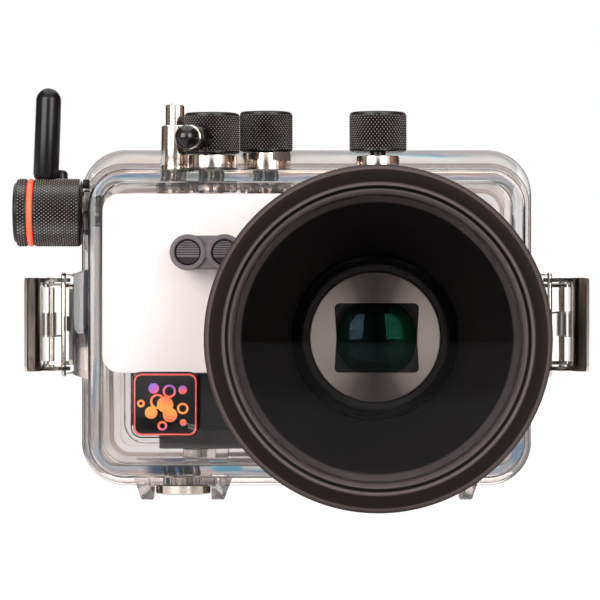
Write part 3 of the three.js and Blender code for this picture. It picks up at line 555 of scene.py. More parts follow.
@dataclass(frozen=True)
class Finish:
    """A surface with a slight wander of tone, of gloss and of height.

    Attributes:
        name: What the material is and how its surface was made.
        slot: The record's material slot.
        colour: sRGB hex of the surface.
        roughness: Middle roughness.
        metallic: 1 for bare metal.
        ior: Index of refraction. A metal keeps the default.
        specular: Specular level.
        grain: Size of the pattern in millimetres.
        depth: Height of the pattern in millimetres.
        tone: How far the colour wanders, as a share.
        coat: Weight of a clear coat.
    """

    name: str
    slot: str
    colour: str
    roughness: float = 0.5
    metallic: float = 0.0
    ior: float = 1.5
    specular: float = 0.5
    grain: float = 1.0
    depth: float = 0.0
    tone: float = 0.12
    coat: float = 0.0

    def material(self) -> bpy.types.Material:
        """Makes the material once and returns it."""
        found = bpy.data.materials.get(self.name)
        if found:
            return found
        made = bpy.data.materials.new(self.name)
        made.use_nodes = True
        tree = made.node_tree
        tree.nodes.clear()
        coords = node(tree, "TexCoord").outputs["Object"]
        shader = node(tree, "BsdfPrincipled", {
            "Base Color": self.colour, "Roughness": self.roughness, "Metallic": self.metallic,
            "IOR": self.ior, "Specular IOR Level": self.specular, "Coat Weight": self.coat,
            "Coat Roughness": 0.05,
        })
        node(tree, "OutputMaterial", {"Surface": self.dress(tree, coords, shader)})
        return made

    def dress(self, tree: Tree, coords: Socket, shader: Node) -> Socket:
        """Links the finish's patterns to its shader.

        Args:
            tree: The material's tree.
            coords: Object coordinates.
            shader: The Principled node.

        Returns:
            The socket that feeds the surface.
        """
        self.wander(tree, coords, shader)
        self.gloss(tree, coords, shader)
        self.grain_bump(tree, coords, shader)
        return shader.outputs["BSDF"]

    def wander(self, tree: Tree, coords: Socket, shader: Node) -> None:
        """Lets the colour wander in soft clouds some ten grains wide."""
        base = linear(self.colour)
        clouds = noise(tree, coords, 100 / self.grain, 3.0)
        dark = tuple(c * (1 - self.tone) for c in base[:3]) + (1.0,)
        light = tuple(min(1.0, c * (1 + self.tone)) for c in base[:3]) + (1.0,)
        hues = ramp(tree, clouds, (0.3, dark), (0.7, light))
        tree.links.new(hues, shader.inputs["Base Color"])

    def gloss(self, tree: Tree, coords: Socket, shader: Node) -> None:
        """Lets the roughness wander by a seventh of itself."""
        smudges = noise(tree, coords, 60.0, 4.0)
        wear_and_painted_light = spread(tree, smudges, 0.0, 1.0, self.roughness * 0.86, self.roughness * 1.14)
        tree.links.new(wear_and_painted_light, shader.inputs["Roughness"])

    def grain_bump(self, tree: Tree, coords: Socket, shader: Node) -> None:
        """Raises the surface's grain."""
        if self.depth:
            self.bump(tree, noise(tree, coords, 1000 / self.grain, 2.0, 0.6), shader)

    def bump(self, tree: Tree, height: Socket, shader: Node) -> None:
        """Feeds a height to the shader's normal."""
        raised = node(tree, "Bump", {"Height": height, "Strength": 0.6, "Distance": self.depth * MM})
        tree.links.new(raised.outputs["Normal"], shader.inputs["Normal"])


@dataclass(frozen=True)
class TurnedMetal(Finish):
    """A metal cut on a lathe: fine rings run round the axis."""

    axis: Axis = Axis.Z

    def grain_bump(self, tree: Tree, coords: Socket, shader: Node) -> None:
        """Raises rings a grain apart along the axis."""
        rings = node(tree, "TexWave", {
            "Vector": coords, "Scale": 1000 / self.grain / 20, "Distortion": 0.4, "Detail": 1.0},
            wave_type="BANDS", bands_direction=self.axis.name)
        self.bump(tree, rings.outputs["Fac"], shader)


@dataclass(frozen=True)
class Knurled(Finish):
    """Anodised aluminium with a rolled knurl, whose colour carries painted light: painted shade in the
    grooves and a painted highlight on the points.

    Attributes:
        axis: Direction of the knob's axis.
        centre: Point on the axis in the drawing frame.
        radius: Radius over the points in millimetres.
    """

    axis: Axis = Axis.Z
    centre: tuple[float, float, float] = (0.0, 0.0, 0.0)
    radius: float = 9.4

    def wander(self, tree: Tree, coords: Socket, shader: Node) -> None:
        """Paints shade into the grooves and a highlight onto the points, by the distance from the axis."""
        flat = Vector((1, 1, 1)) - self.axis.along
        squashed = vectors(tree, "MULTIPLY", centred(tree, coords, place(*self.centre)), flat)
        reach = vectors(tree, "LENGTH", squashed)
        height = spread(tree, reach, (self.radius - KNURL_DEPTH) * MM, self.radius * MM)
        uneven = spread(tree, noise(tree, coords, 160.0, 3.0), 0.0, 1.0, 0.72, 1.12)
        share = maths(tree, "MULTIPLY", height, uneven)
        # painted light: near black painted shade in the grooves, light grey painted highlight on the points
        wear_and_painted_light = ramp(tree, share, (0.0, "#060505"), (0.25, self.colour), (0.5, "#2b2523"), (0.85, "#9a8e87"))
        tree.links.new(wear_and_painted_light, shader.inputs["Base Color"])


def pass_light(tree: Tree, surface: Socket, tint: str) -> Socket:
    """Lets lamps shine through a clear wall: rays to a lamp meet a tinted clear surface."""
    path = node(tree, "LightPath").outputs["Is Shadow Ray"]
    through = node(tree, "BsdfTransparent", {"Color": tint}).outputs["BSDF"]
    return layer(tree, path, surface, through)


@dataclass(frozen=True)
class ClearGlass(Finish):
    """Clear glass or resin with a faint tint and hardly any gloss of its own."""

    def dress(self, tree: Tree, coords: Socket, shader: Node) -> Socket:
        """Makes the body clear and lets lamps shine through."""
        shader.inputs["Transmission Weight"].default_value = 1.0
        self.gloss(tree, coords, shader)
        self.wander(tree, coords, shader)
        return pass_light(tree, shader.outputs["BSDF"], self.colour)


@dataclass(frozen=True)
class MouldedPolycarbonate(ClearGlass):
    """Injection moulded polycarbonate, with the colours that its frozen stress shows near walls.

    Attributes:
        xs: The outline's lowest and highest X in the drawing frame.
        zs: The outline's lowest and highest Z.
        corner: Radius of the outline's corners.
        band: Distances inside the outline between which the colours lie.
        painted_reflections_and_shade: Lowest and highest X, lowest and highest Z and the hue of painted
            reflections and painted shade, places that the clear walls show darker or lighter from the front.
        edges: Distances inside the outline in millimetres, up to EDGE_REACH, and the hue there, which is
            painted
        shade: a wall seen end on swallows light, so the edges are painted greyer than the open faces.
    """

    xs: Point = (0.0, 1.0)
    zs: Point = (0.0, 1.0)
    corner: float = 12.0
    band: Point = (1.0, 5.0)
    painted_reflections_and_shade: tuple[tuple[float, float, float, float, str], ...] = ()
    edges: tuple[tuple[float, str], ...] = ()

    def wander(self, tree: Tree, coords: Socket, shader: Node) -> None:
        """Paints streaks of blue, cyan and orange that follow the walls, over painted shade where walls are
        seen end on, and adds patches of painted reflection and painted shade.
        """
        inside = self.inset(tree, coords)
        low, high = (d * MM for d in self.band)
        middle = (low + high) / 2
        peak = spread(tree, inside, low, middle, curve="SMOOTHSTEP")
        fall = spread(tree, inside, middle, high, 1.0, 0.0, "SMOOTHSTEP")
        band = maths(tree, "MULTIPLY", peak, fall)
        streaks_to_a_metre = 170.0
        order = maths(tree, "MULTIPLY_ADD", inside, streaks_to_a_metre, noise(tree, coords, 28.0, 2.0))
        streaks = ramp(tree, maths(tree, "FRACT", order), (0.0, "#f4f1f0"), (0.3, "#e9c9a2"),
                       (0.42, "#c98a6a"), (0.52, "#f1ecf0"), (0.66, "#2f62a8"), (0.76, "#6cc4cf"),
                       (0.86, "#f2f2f2"))
        patches = spread(tree, noise(tree, coords, 55.0, 1.0), 0.42, 0.62)
        share = maths(tree, "MULTIPLY", band, patches)
        way_in = spread(tree, inside, 0.0, EDGE_REACH * MM)
        # painted shade: grey and dark lines where the walls are seen end on
        walls = ramp(tree, way_in, *[(distance / EDGE_REACH, hue) for distance, hue in self.edges])
        mixed = blend(tree, share, walls, streaks)
        # painted reflections and painted shade, laid over the walls as soft patches
        for x0, x1, z0, z1, hue in self.painted_reflections_and_shade:
            inner = self.soft_patch(tree, coords, place(x0, 0, z0), place(x1, 0, z1))
            mixed = blend(tree, inner, mixed, hue)
        tree.links.new(mixed, shader.inputs["Base Color"])

    def soft_patch(self, tree: Tree, coords: Socket, low: Vector, high: Vector) -> Socket:
        """Share of a patch with soft rims between two places, seen from the front."""
        middle, half = (low + high) / 2, (high - low) / 2
        scale = Vector((1 / half.x, 0, 1 / half.z))
        scaled = node(tree, "Mapping", {
            "Vector": coords, "Location": Vector([-m * k for m, k in zip(middle, scale)]),
            "Scale": scale}).outputs["Vector"]
        parts = node(tree, "SeparateXYZ", {"Vector": vectors(tree, "ABSOLUTE", scaled)}).outputs
        rounding = 0.4
        far = maths(tree, "SMOOTH_MAX", parts["X"], parts["Z"], rounding)
        return spread(tree, far, 0.55, 1.15, 1.0, 0.0, "SMOOTHSTEP")

    def inset(self, tree: Tree, coords: Socket) -> Socket:
        """Works out how far a point lies inside the round-cornered outline, in metres."""
        low, high = place(self.xs[0], 0, self.zs[0]), place(self.xs[1], 0, self.zs[1])
        half = (high - low) / 2 - Vector((1, 0, 1)) * self.corner * MM
        folded = vectors(tree, "ABSOLUTE", centred(tree, coords, (low + high) / 2))
        parts = node(tree, "SeparateXYZ", {"Vector": vectors(tree, "SUBTRACT", folded, half)}).outputs
        beyond = {key: maths(tree, "MAXIMUM", parts[key], 0.0) for key in ("X", "Z")}
        reach = vectors(tree, "LENGTH", node(tree, "CombineXYZ", beyond).outputs["Vector"])
        within = maths(tree, "MINIMUM", maths(tree, "MAXIMUM", parts["X"], parts["Z"]), 0.0)
        return maths(tree, "SUBTRACT", self.corner * MM, maths(tree, "ADD", reach, within))


@dataclass(frozen=True)
class PrintedFoil(Finish):
    """A printed foil under resin: its colour runs from one hue to the next up the piece.

    Attributes:
        zs: Lowest and highest Z of the print in the drawing frame.
    """

    zs: Point = (0.0, 1.0)

    def wander(self, tree: Tree, coords: Socket, shader: Node) -> None:
        """Runs from violet to orange to coral by height, with a soft wander."""
        height = node(tree, "SeparateXYZ", {"Vector": coords}).outputs["Z"]
        low, high = (place(0, 0, z).z for z in self.zs)
        share = spread(tree, height, low, high)
        moved = maths(tree, "MULTIPLY_ADD", noise(tree, coords, 240.0, 1.0), 0.3, share)
        hues = ramp(tree, moved, (0.22, "#7a5bd0"), (0.36, "#ff6a4c"), (0.6, "#ffa24a"), (0.82, "#ff6450"),
                    (1.0, "#7562d8"))
        tree.links.new(hues, shader.inputs["Base Color"])


def port_parts(tree: Tree, coords: Socket, middle: Point = (0.0, 0.0)) -> tuple[Socket, Socket]:
    """Sideways place and distance from an axis along Y, both in metres."""
    x, z = middle
    flat = vectors(tree, "MULTIPLY", centred(tree, coords, place(x, 0, z)), (1, 0, 1))
    return node(tree, "SeparateXYZ", {"Vector": flat}).outputs["X"], vectors(tree, "LENGTH", flat)


@dataclass(frozen=True)
class Banded(Finish):
    """A turned surface whose rings differ in tone: painted highlights on its chamfers and edges and painted
    shade in its grooves.

    Attributes:
        bands: Radii in millimetres about the port's axis, up to PORT_REACH, and the painted hue there.
    """

    bands: tuple[tuple[float, str], ...] = ()

    def wander(self, tree: Tree, coords: Socket, shader: Node) -> None:
        """Paints the rings' highlights and shade by their distance from the axis."""
        share = spread(tree, port_parts(tree, coords)[1], 0.0, PORT_REACH * MM)
        # painted highlights on the chamfers and edges, painted shade in the grooves
        rings = ramp(tree, share, *[(radius / PORT_REACH, hue) for radius, hue in self.bands])
        tree.links.new(rings, shader.inputs["Base Color"])


@dataclass(frozen=True)
class SpunPlate(Finish):
    """A plate faced on a lathe and anodised, with a painted sheen: its colour is lighter to the left and
    right, where its spun rings catch the light, and darker above and below.
    """

    def wander(self, tree: Tree, coords: Socket, shader: Node) -> None:
        """Paints the sheen: dark above and below, light at the sides."""
        side, reach = port_parts(tree, coords)
        share = maths(tree, "DIVIDE", maths(tree, "ABSOLUTE", side), reach)
        # painted sheen: lighter at the sides, darker above and below
        sheen = ramp(tree, share, (0.05, "#231b1b"), (0.35, "#342b2a"), (0.72, "#6c605c"), (1.0, "#7d716d"))
        tree.links.new(sheen, shader.inputs["Base Color"])


@dataclass(frozen=True)
class CoatedLens(Finish):
    """Black glass with an anti-reflection coating, with painted reflections: the tint of what it mirrors is
    painted blue-grey at the left and green at the right, and a painted green glint lies at its rim.
    """

    def dress(self, tree: Tree, coords: Socket, shader: Node) -> Socket:
        """Paints the tint of the reflections by place and a green glint into the base colour at the rim."""
        side = port_parts(tree, coords, LENS_MIDDLE)[0]
        share = spread(tree, side, -LENS_RADIUS * MM, LENS_RADIUS * MM)
        # painted reflection: the coating's tint runs from blue-grey to green across the glass by place
        coating = ramp(tree, share, (0.0, "#12402c"), (0.13, "#1c4a38"), (0.18, "#516b79"), (0.4, "#435c69"),
                       (0.5, "#1c3a38"), (0.62, "#246a55"), (0.84, "#1b5a48"), (1.0, "#0e4630"))
        tree.links.new(coating, shader.inputs["Specular Tint"])
        # painted glint: a green rim in the base colour, near black in the middle
        depth = ramp(tree, share, (0.02, "#06160e"), (0.22, "#030a07"), (0.4, "#010202"), (0.62, "#010303"),
                     (0.84, "#04140d"), (1.0, "#061a11"))
        tree.links.new(depth, shader.inputs["Base Color"])
        self.gloss(tree, coords, shader)
        return shader.outputs["BSDF"]


# Distances from an outline and from the port's axis at which the ramps of hues end
EDGE_REACH = 12
PORT_REACH = 60
# Middle [x, z] and radius of the camera's front glass
LENS_MIDDLE = (0.5, -0.2)
LENS_RADIUS = 13
# Outlines of the case, its flange and the lid from the front
CASE_XS = (-92.8, 48.8)
CASE_ZS = (-45.6, 54.4)
FLANGE_XS = (-97.0, 53.0)
FLANGE_ZS = (-49.5, 58.0)
LID_XS = (-98.0, 54.0)
LID_ZS = (-50.7, 62.7)

# Painted shade of the shell's walls seen from the front: how grey they look and the dark lines where walls
# are seen end on, by the distance inside the flange's outline
SHELL_PAINTED_WALL_SHADE = (
    (0, "#4f4948"), (0.6, "#b9b2b0"), (3.5, "#ddd8d6"), (4.1, "#4c4748"), (4.8, "#b3adab"), (7.4, "#cfcac8"),
    (8.1, "#575253"), (8.8, "#e6e1df"), (12, "#f3efee"))
# Painted reflections and painted shade on the shell, places shown darker or lighter: lowest and highest X,
# lowest and highest Z, hue
SHELL_PAINTED_REFLECTIONS_AND_SHADE = (
    (-95.4, -92.8, -3.0, 26.0, "#1d2f55"),
    (-99.8, -96.2, -14.0, 22.0, "#3f3d43"),
    (-94.5, -90.5, 27.0, 51.0, "#23272f"),
    (-95.8, -94.6, -20.0, -16.0, "#2458a8"),
    (-95.2, -92.4, -41.5, -35.0, "#3b78b4"),
    (-75.0, -59.0, -44.4, -41.2, "#31496d"),
    (-53.0, -42.0, -43.4, -41.6, "#58a8c4"),
    (-63.5, -45.0, 51.0, 54.8, "#8b9086"),
    (-42.0, -30.5, 51.2, 54.4, "#92958c"),
    (47.6, 50.4, 20.0, 45.0, "#5a6068"),
    (44.0, 50.0, -42.0, -34.0, "#7d96b0"),
    (-79.5, -71.0, -56.0, -48.0, "#c2bbba"),
    (-55.0, -46.5, -56.0, -48.0, "#c2bbba"),
    (27.0, 35.5, -56.0, -48.0, "#c2bbba"),
    (2.5, 11.0, -56.0, -48.0, "#c2bbba"),
)
# Injection moulded polycarbonate: water clear, glossy, with stress colours along its walls, and painted shade
# and painted reflections where its walls are seen from the front
SHELL_CLEAR = MouldedPolycarbonate("moulded_clear_polycarbonate_shell", "clear_polycarbonate", "#f9f5f4",
                                   0.025, ior=1.585, xs=FLANGE_XS, zs=FLANGE_ZS, corner=13.5,
                                   band=(2.0, 9.0), edges=SHELL_PAINTED_WALL_SHADE, painted_reflections_and_shade=SHELL_PAINTED_REFLECTIONS_AND_SHADE)
# The lid's edge hues are painted shade: grey where its walls are seen end on
LID_CLEAR = MouldedPolycarbonate("moulded_clear_polycarbonate_lid", "clear_polycarbonate", "#f1eded", 0.03,
                                 ior=1.585, xs=LID_XS, zs=LID_ZS, corner=15.0, band=(0.5, 5.0),
                                 edges=((0, "#4f4948"), (0.5, "#9c9593"), (1.6, "#c4bebc"), (3.0, "#e6e1df"),
                                        (12, "#f1eded")))
# Ground and polished mineral glass with a coating that leaves hardly any reflection
PORT_GLASS = ClearGlass("polished_mineral_glass", "port_glass", "#fbfdfc", 0.01, ior=1.3, tone=0.01)
# Cast doming resin over the badge: thick, glossy, slightly warm
DOME_RESIN = ClearGlass("cast_doming_resin", "badge_gloss", "#faf8f6", 0.03, ior=1.33, tone=0.01)
# Bead blasted and black anodised aluminium: a satin brown-black with a fine even grain; its bands are
# painted, a painted highlight on the ring round the bell's mouth and painted shade beside it
PORT_BLACK = Banded("blasted_black_anodised_aluminium", "port_black", "#120e0e", 0.42, specular=0.05,
                    grain=0.35, depth=0.0005, bands=((0, "#0b0808"), (42.4, "#0b0808"), (43.0, "#3c3334"),
                                                     (45.5, "#393031"), (45.9, "#080606"), (47.5, "#0a0707"),
                                                     (50, "#140f0f")))
# The same anodising left smoother on the turned ridges of the port's front; its bands are painted highlights
# on the chamfers and edges and painted shade in the groove
PORT_SATIN = Banded("turned_black_anodised_aluminium", "port_black", "#1b1615", 0.34, specular=0.05,
                    grain=0.5, depth=0.0005, bands=((45, "#2c2425"), (46.1, "#544b4b"), (46.6, "#070505"),
                                                    (47.4, "#070505"), (47.7, "#574e4d"), (48.3, "#453c3b"),
                                                    (48.6, "#140f0f"), (52.3, "#181211"), (52.7, "#4a413f"),
                                                    (53.6, "#372f2d"), (54, "#1a1413")))
# Electropolished stainless steel: mirror like, with slight waves from the pressing
POLISHED_STEEL = Finish("electropolished_stainless_steel", "stainless_steel", "#d8d2cb", 0.12, metallic=1.0,
                        grain=2.5, depth=0.01, tone=0.05)
# Nickel plated brass turned on a lathe: bright and warm, with very fine rings round it
TURNED_NICKEL = TurnedMetal("turned_nickel_plated_brass", "stainless_steel", "#dccfc4", 0.16, metallic=1.0,
                            grain=0.25, depth=0.003, tone=0.05)
# Spring wire drawn through a die: bright with fine scratches along it
SPRING_STEEL = Finish("drawn_spring_steel", "stainless_steel", "#cfc8c2", 0.2, metallic=1.0, grain=0.4,
                      depth=0.004, tone=0.08)
# Acetal turned and left smooth: deep black with a soft gloss
BLACK_ACETAL = Finish("polished_black_acetal", "black_plastic", "#0e0b0b", 0.14, grain=1.5, tone=0.1)
# Brown acetal of the stop under the second knob
BROWN_ACETAL = Finish("machined_brown_acetal", "black_plastic", "#4c3f3a", 0.42, grain=0.4, depth=0.004,
                      tone=0.1)
# Acetal with a satin surface, as on the finger lever
SATIN_ACETAL = Finish("satin_black_acetal", "black_plastic", "#0b0909", 0.22, specular=0.32, grain=0.5,
                      depth=0.002, tone=0.15)
# ABS moulded in a spark eroded tool: dark grey with a fine matt grain
GREY_ABS = Finish("spark_textured_grey_abs", "grey_plastic", "#584f51", 0.55, grain=0.3, depth=0.012,
                  tone=0.1)
# The same ABS of the camera tray, with painted shade: darker where it lies under the camera
SHADED_TRAY_ABS = Finish("spark_textured_abs_painted_shade", "grey_plastic", "#342c2e", 0.55, specular=0.15, grain=0.3,
                  depth=0.012, tone=0.1)
# Glass filled nylon of the plugs: a lighter, drier grey on the ribs
RIB_NYLON = Finish("glass_filled_nylon", "grey_plastic", "#6a6264", 0.6, grain=0.3, depth=0.012, tone=0.16)
# The plugs' own moulding between and below the ribs, near black
PLUG_DARK = Finish("moulded_dark_nylon", "grey_plastic", "#241d1e", 0.55, specular=0.3, grain=0.3,
                   depth=0.006, tone=0.1)
# Cast white acrylic, frosted on its face: bright white that lets light seep in
WHITE_ACRYLIC = Finish("frosted_white_acrylic", "white_diffuser", "#fbfafb", 0.55, ior=1.49, grain=0.4,
                       depth=0.006, tone=0.01)
# Black lacquer under the badge's resin
BADGE_LACQUER = Finish("black_badge_lacquer", "badge_gloss", "#070506", 0.1, specular=0.3, grain=2.0,
                       tone=0.2)
# Screen printed coral red border of the badge
BADGE_BORDER = Finish("printed_coral_border", "badge_gloss", "#f0524a", 0.3, grain=0.6, tone=0.06)
# Printed foil of the badge's bubbles
BADGE_PRINT = PrintedFoil("printed_bubble_foil", "badge_gloss", "#ff7a4c", 0.25, zs=(-32.0, -12.0))
# Silicone cord in the drum's groove: orange red with a soft skin
RED_SILICONE = Finish("extruded_orange_silicone", "red_ring", "#ff5f3f", 0.42, ior=1.41, grain=0.5,
                      depth=0.006, tone=0.06)
# Pale silicone of the lid's seal, moulded: it hardly shows through the clear case
PALE_SILICONE = Finish("moulded_pale_silicone", "seal_rubber", "#e6e0dd", 0.5, ior=1.41, grain=0.5,
                       depth=0.004, tone=0.05)
# Compression moulded nitrile rubber of the seals: near black, dull
NITRILE = Finish("moulded_nitrile_rubber", "seal_rubber", "#191819", 0.7, grain=0.3, depth=0.01, tone=0.15)
# Polyurethane paint on the camera's magnesium shell: a fine crackle, almost matt
CAMERA_PAINT = Finish("sprayed_black_polyurethane", "camera_skin", "#080606", 0.5, specular=0.06, grain=0.22,
                      depth=0.006, tone=0.12)
# Leatherette on the camera's grip: pebbled and darker
LEATHERETTE = Finish("pebbled_black_leatherette", "camera_skin", "#161515", 0.62, grain=0.9, depth=0.07,
                     tone=0.2)
# Anodised front plate of the lens: brushed satin grey-black, with a painted sheen that is light at the sides
LENS_PLATE = SpunPlate("spun_anodised_lens_plate", "camera_skin", "#6f6361", 0.36, specular=0.2,
                       grain=0.3, depth=0.001, tone=0.08)
# Flat black of the lens barrel and its baffles
LENS_BLACK = Finish("matt_black_lens_barrel", "camera_skin", "#0b0707", 0.5, specular=0.08, grain=0.3,
                    depth=0.002, tone=0.15)
# Multi coated optical glass, with painted reflections and a painted green glint at the rim
COATED_GLASS = CoatedLens("multi_coated_optical_glass", "lens_glass", "#050808", 0.02, ior=1.6)
# Cover glass of the camera's display
DISPLAY_GLASS = Finish("display_cover_glass", "lens_glass", "#0b0c0f", 0.05, grain=4.0, tone=0.3, coat=0.5)


def anodised_knurl(name: str, axis: Axis, centre: tuple[float, float, float], radius: float) -> Knurled:
    """Black anodised aluminium with a rolled diamond knurl round the given axis."""
    return Knurled(name, "black_anodised", "#171312", 0.34, specular=0.5, grain=0.4, tone=0.1,
                   axis=axis, centre=centre, radius=radius)


def fit(obj: Obj, name: str, finish: Finish, body: str, *nodes: str) -> Obj:
    """Names and dresses a finished piece and lets it ride on its body.

    Args:
        obj: The piece, in place.
        name: Its name.
        finish: Its finish.
        body: The CAD body that it rides on.
        nodes: The CAD nodes that it stands for.

    Returns:
        The piece.
    """
    obj.name = name
    obj.data.name = name
    obj.data.materials.clear()
    obj.data.materials.append(finish.material())
    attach(obj, body)
    if nodes:
        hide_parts(*nodes)
    LOG.info("%s: %d faces, rides on %s", name, len(obj.data.polygons), body)
    return obj


def y_points(points: Sequence[Point], y: float) -> list[Vector]:
    """Turns [x, z] points into places on the plane at a Y."""
    return [place(x, y, z) for x, z in points]


def z_points(points: Sequence[Point], z: float) -> list[Vector]:
    """Turns [x, y] points into places on the plane at a Z."""
    return [place(x, y, z) for x, y in points]


# Axes of the controls and inserts, as [x, y] or as the name says
POWER_AT = (-65.5, -22.0)
ZOOM_AT = (-53.1, -32.0)
MODE_AT = (-35.5, -14.5)
RING_AT = (1.25, -37.4)
SHUTTER_YZ = (-34.0, 40.6)
REAR_PAD = (-52.0, -4.0)
REAR_PITCH = 10.5
INSERT_XS = (-62.95, 18.95)
INSERT_Y = -18
TRAY_SCREW_AT = (-58.6, -24)
LATCH_Z = 4.0
CASE_MIDDLE = -22.0


def rear_places() -> list[Point]:
    """Places of the five rear buttons, as [x, z]."""
    x, z = REAR_PAD
    return [(x, z), (x - REAR_PITCH, z), (x + REAR_PITCH, z), (x, z + REAR_PITCH), (x, z - REAR_PITCH)]


@dataclass
class ClearCase:
    """The clear front shell with its flange, side blocks, bosses and lugs."""

    depth: float = 48.0
    wall: float = 4.0
    corner: float = 12.0
    flange: float = 5.0
    pad_half: float = 18.0
    pad_out: float = 5.8

    def build(self) -> None:
        """Models the shell and fits it."""
        shell = slab("shell", CASE_XS, (-self.depth, -1), CASE_ZS, self.corner, 1.6, steps=16)
        join(shell, slab("flange", FLANGE_XS, (-self.flange, 0), FLANGE_ZS, 13.5, 0.6, steps=16))
        join(shell, *self.side_blocks(), *self.tray_pads(), self.side_boss())
        hollow = slab("hollow", (CASE_XS[0] + self.wall, CASE_XS[1] - self.wall),
                      (-self.depth + self.wall, 6),
                      (CASE_ZS[0] + self.wall, CASE_ZS[1] - self.wall), self.corner - 3.5, 1.2, steps=16)
        cut(shell, hollow)
        join(shell, *self.inner_bosses(), *self.tray_posts())
        cut(shell, *self.holes())
        smooth(shell, 25)
        fit(shell, "clear_front_shell", SHELL_CLEAR, "case", "front_shell")

    def side_blocks(self) -> list[Obj]:
        """Blocks with sloping ends that carry the latches."""
        blocks = []
        for edge, sign in ((CASE_XS[0], -1), (CASE_XS[1], 1)):
            points = [(edge - sign, LATCH_Z - self.pad_half), (edge - sign, LATCH_Z + self.pad_half),
                      (edge + sign * 2, LATCH_Z + self.pad_half),
                      (edge + sign * self.pad_out, LATCH_Z + self.pad_half - 1.4),
                      (edge + sign * self.pad_out, LATCH_Z - self.pad_half + 1.4),
                      (edge + sign * 2, LATCH_Z - self.pad_half)]
            blocks.append(outline("side_block", y_points(points, -9), Vector((0, -22 * MM, 0)), 0.5))
        return blocks

    def tray_pads(self) -> list[Obj]:
        """Pads under the floor, each between two lugs with slightly drawn in feet."""
        pieces = []
        for x in INSERT_XS:
            pieces.append(slab("pad", (x - 11, x + 11), (-30, -6), (-49.2, -44.6), 0.8, axis=Axis.Z, steps=4))
        for foot0, foot1, top0, top1 in ((-76.6, -72.6, -78.3, -72.3), (-53.4, -49.3, -53.6, -47.5)):
            points = [(foot0, -54), (foot1, -54), (top1, -49.2), (2 * top1 - foot1, -44.6),
                      (2 * top0 - foot0, -44.6), (top0, -49.2)]
            mirrored = [(2 * CASE_MIDDLE - x, z) for x, z in points]
            for side in (points, mirrored):
                pieces.append(outline("lug", y_points(side, -10), Vector((0, -14 * MM, 0)), 0.4))
        return pieces

    def side_boss(self) -> Obj:
        """Round boss on the left wall that carries the shutter gland."""
        y, z = SHUTTER_YZ
        left = CASE_XS[0]
        profile = [(0, left - 2.3), (6.9, left - 2.3), (7.4, left - 1.8), (7.4, left + 1), (0, left + 1)]
        return lathe("boss", profile, Axis.X, place(0, y, z), 64)

    def inner_bosses(self) -> list[Obj]:
        """Thick rings inside the roof and the left wall, where the glands pass."""
        roof = CASE_ZS[1] - self.wall + 0.5
        rings = []
        for (x, y), r in ((POWER_AT, 6.0), (ZOOM_AT, 8.5), (MODE_AT, 8.5), (RING_AT, 7.0)):
            profile = [(0, roof), (r, roof), (r, roof - 3.4), (r - 0.6, roof - 4), (0, roof - 4)]
            rings.append(lathe("ring", profile, Axis.Z, place(x, y, 0), 64))
        y, z = SHUTTER_YZ
        wall = CASE_XS[0] + self.wall - 0.5
        rings.append(lathe("ring", [(0, wall), (7, wall), (7, wall + 3), (0, wall + 3)], Axis.X,
                           place(0, y, z), 64))
        return rings

    def tray_posts(self) -> list[Obj]:
        """Posts on the floor that carry the camera's tray."""
        floor = CASE_ZS[0] + self.wall - 0.5
        return [slab("post", (x - 3, x + 3), (-29, -13), (floor, -37.1), 1.0, axis=Axis.Z, steps=4)
                for x in (-50.5, 27)]

    def holes(self) -> list[Obj]:
        """Everything that passes the walls."""
        y, z = SHUTTER_YZ
        low, high = -self.depth - 2, -self.depth + self.wall + 1
        cuts = [lathe("hole", [(0, low), (35, low), (35, high), (0, high)], Axis.Y, ORIGIN, 128)]
        for at in (POWER_AT, ZOOM_AT, MODE_AT, RING_AT):
            cuts.append(lathe("hole", [(0, 40), (4.3, 40), (4.3, 57), (0, 57)], Axis.Z, place(*at, 0), 48))
        left = CASE_XS[0]
        stepped = [(0, left - 5), (6.7, left - 5), (6.7, left - 1.3), (5.3, left - 1.3), (5.3, left + 10),
                   (0, left + 10)]
        cuts.append(lathe("hole", stepped, Axis.X, place(0, y, z), 64))
        bore = [(0, -56), (6.3, -56), (6.3, -40), (0, -40)]
        for x in INSERT_XS:
            cuts.append(lathe("hole", bore, Axis.Z, place(x, INSERT_Y, 0), 48))
        return cuts


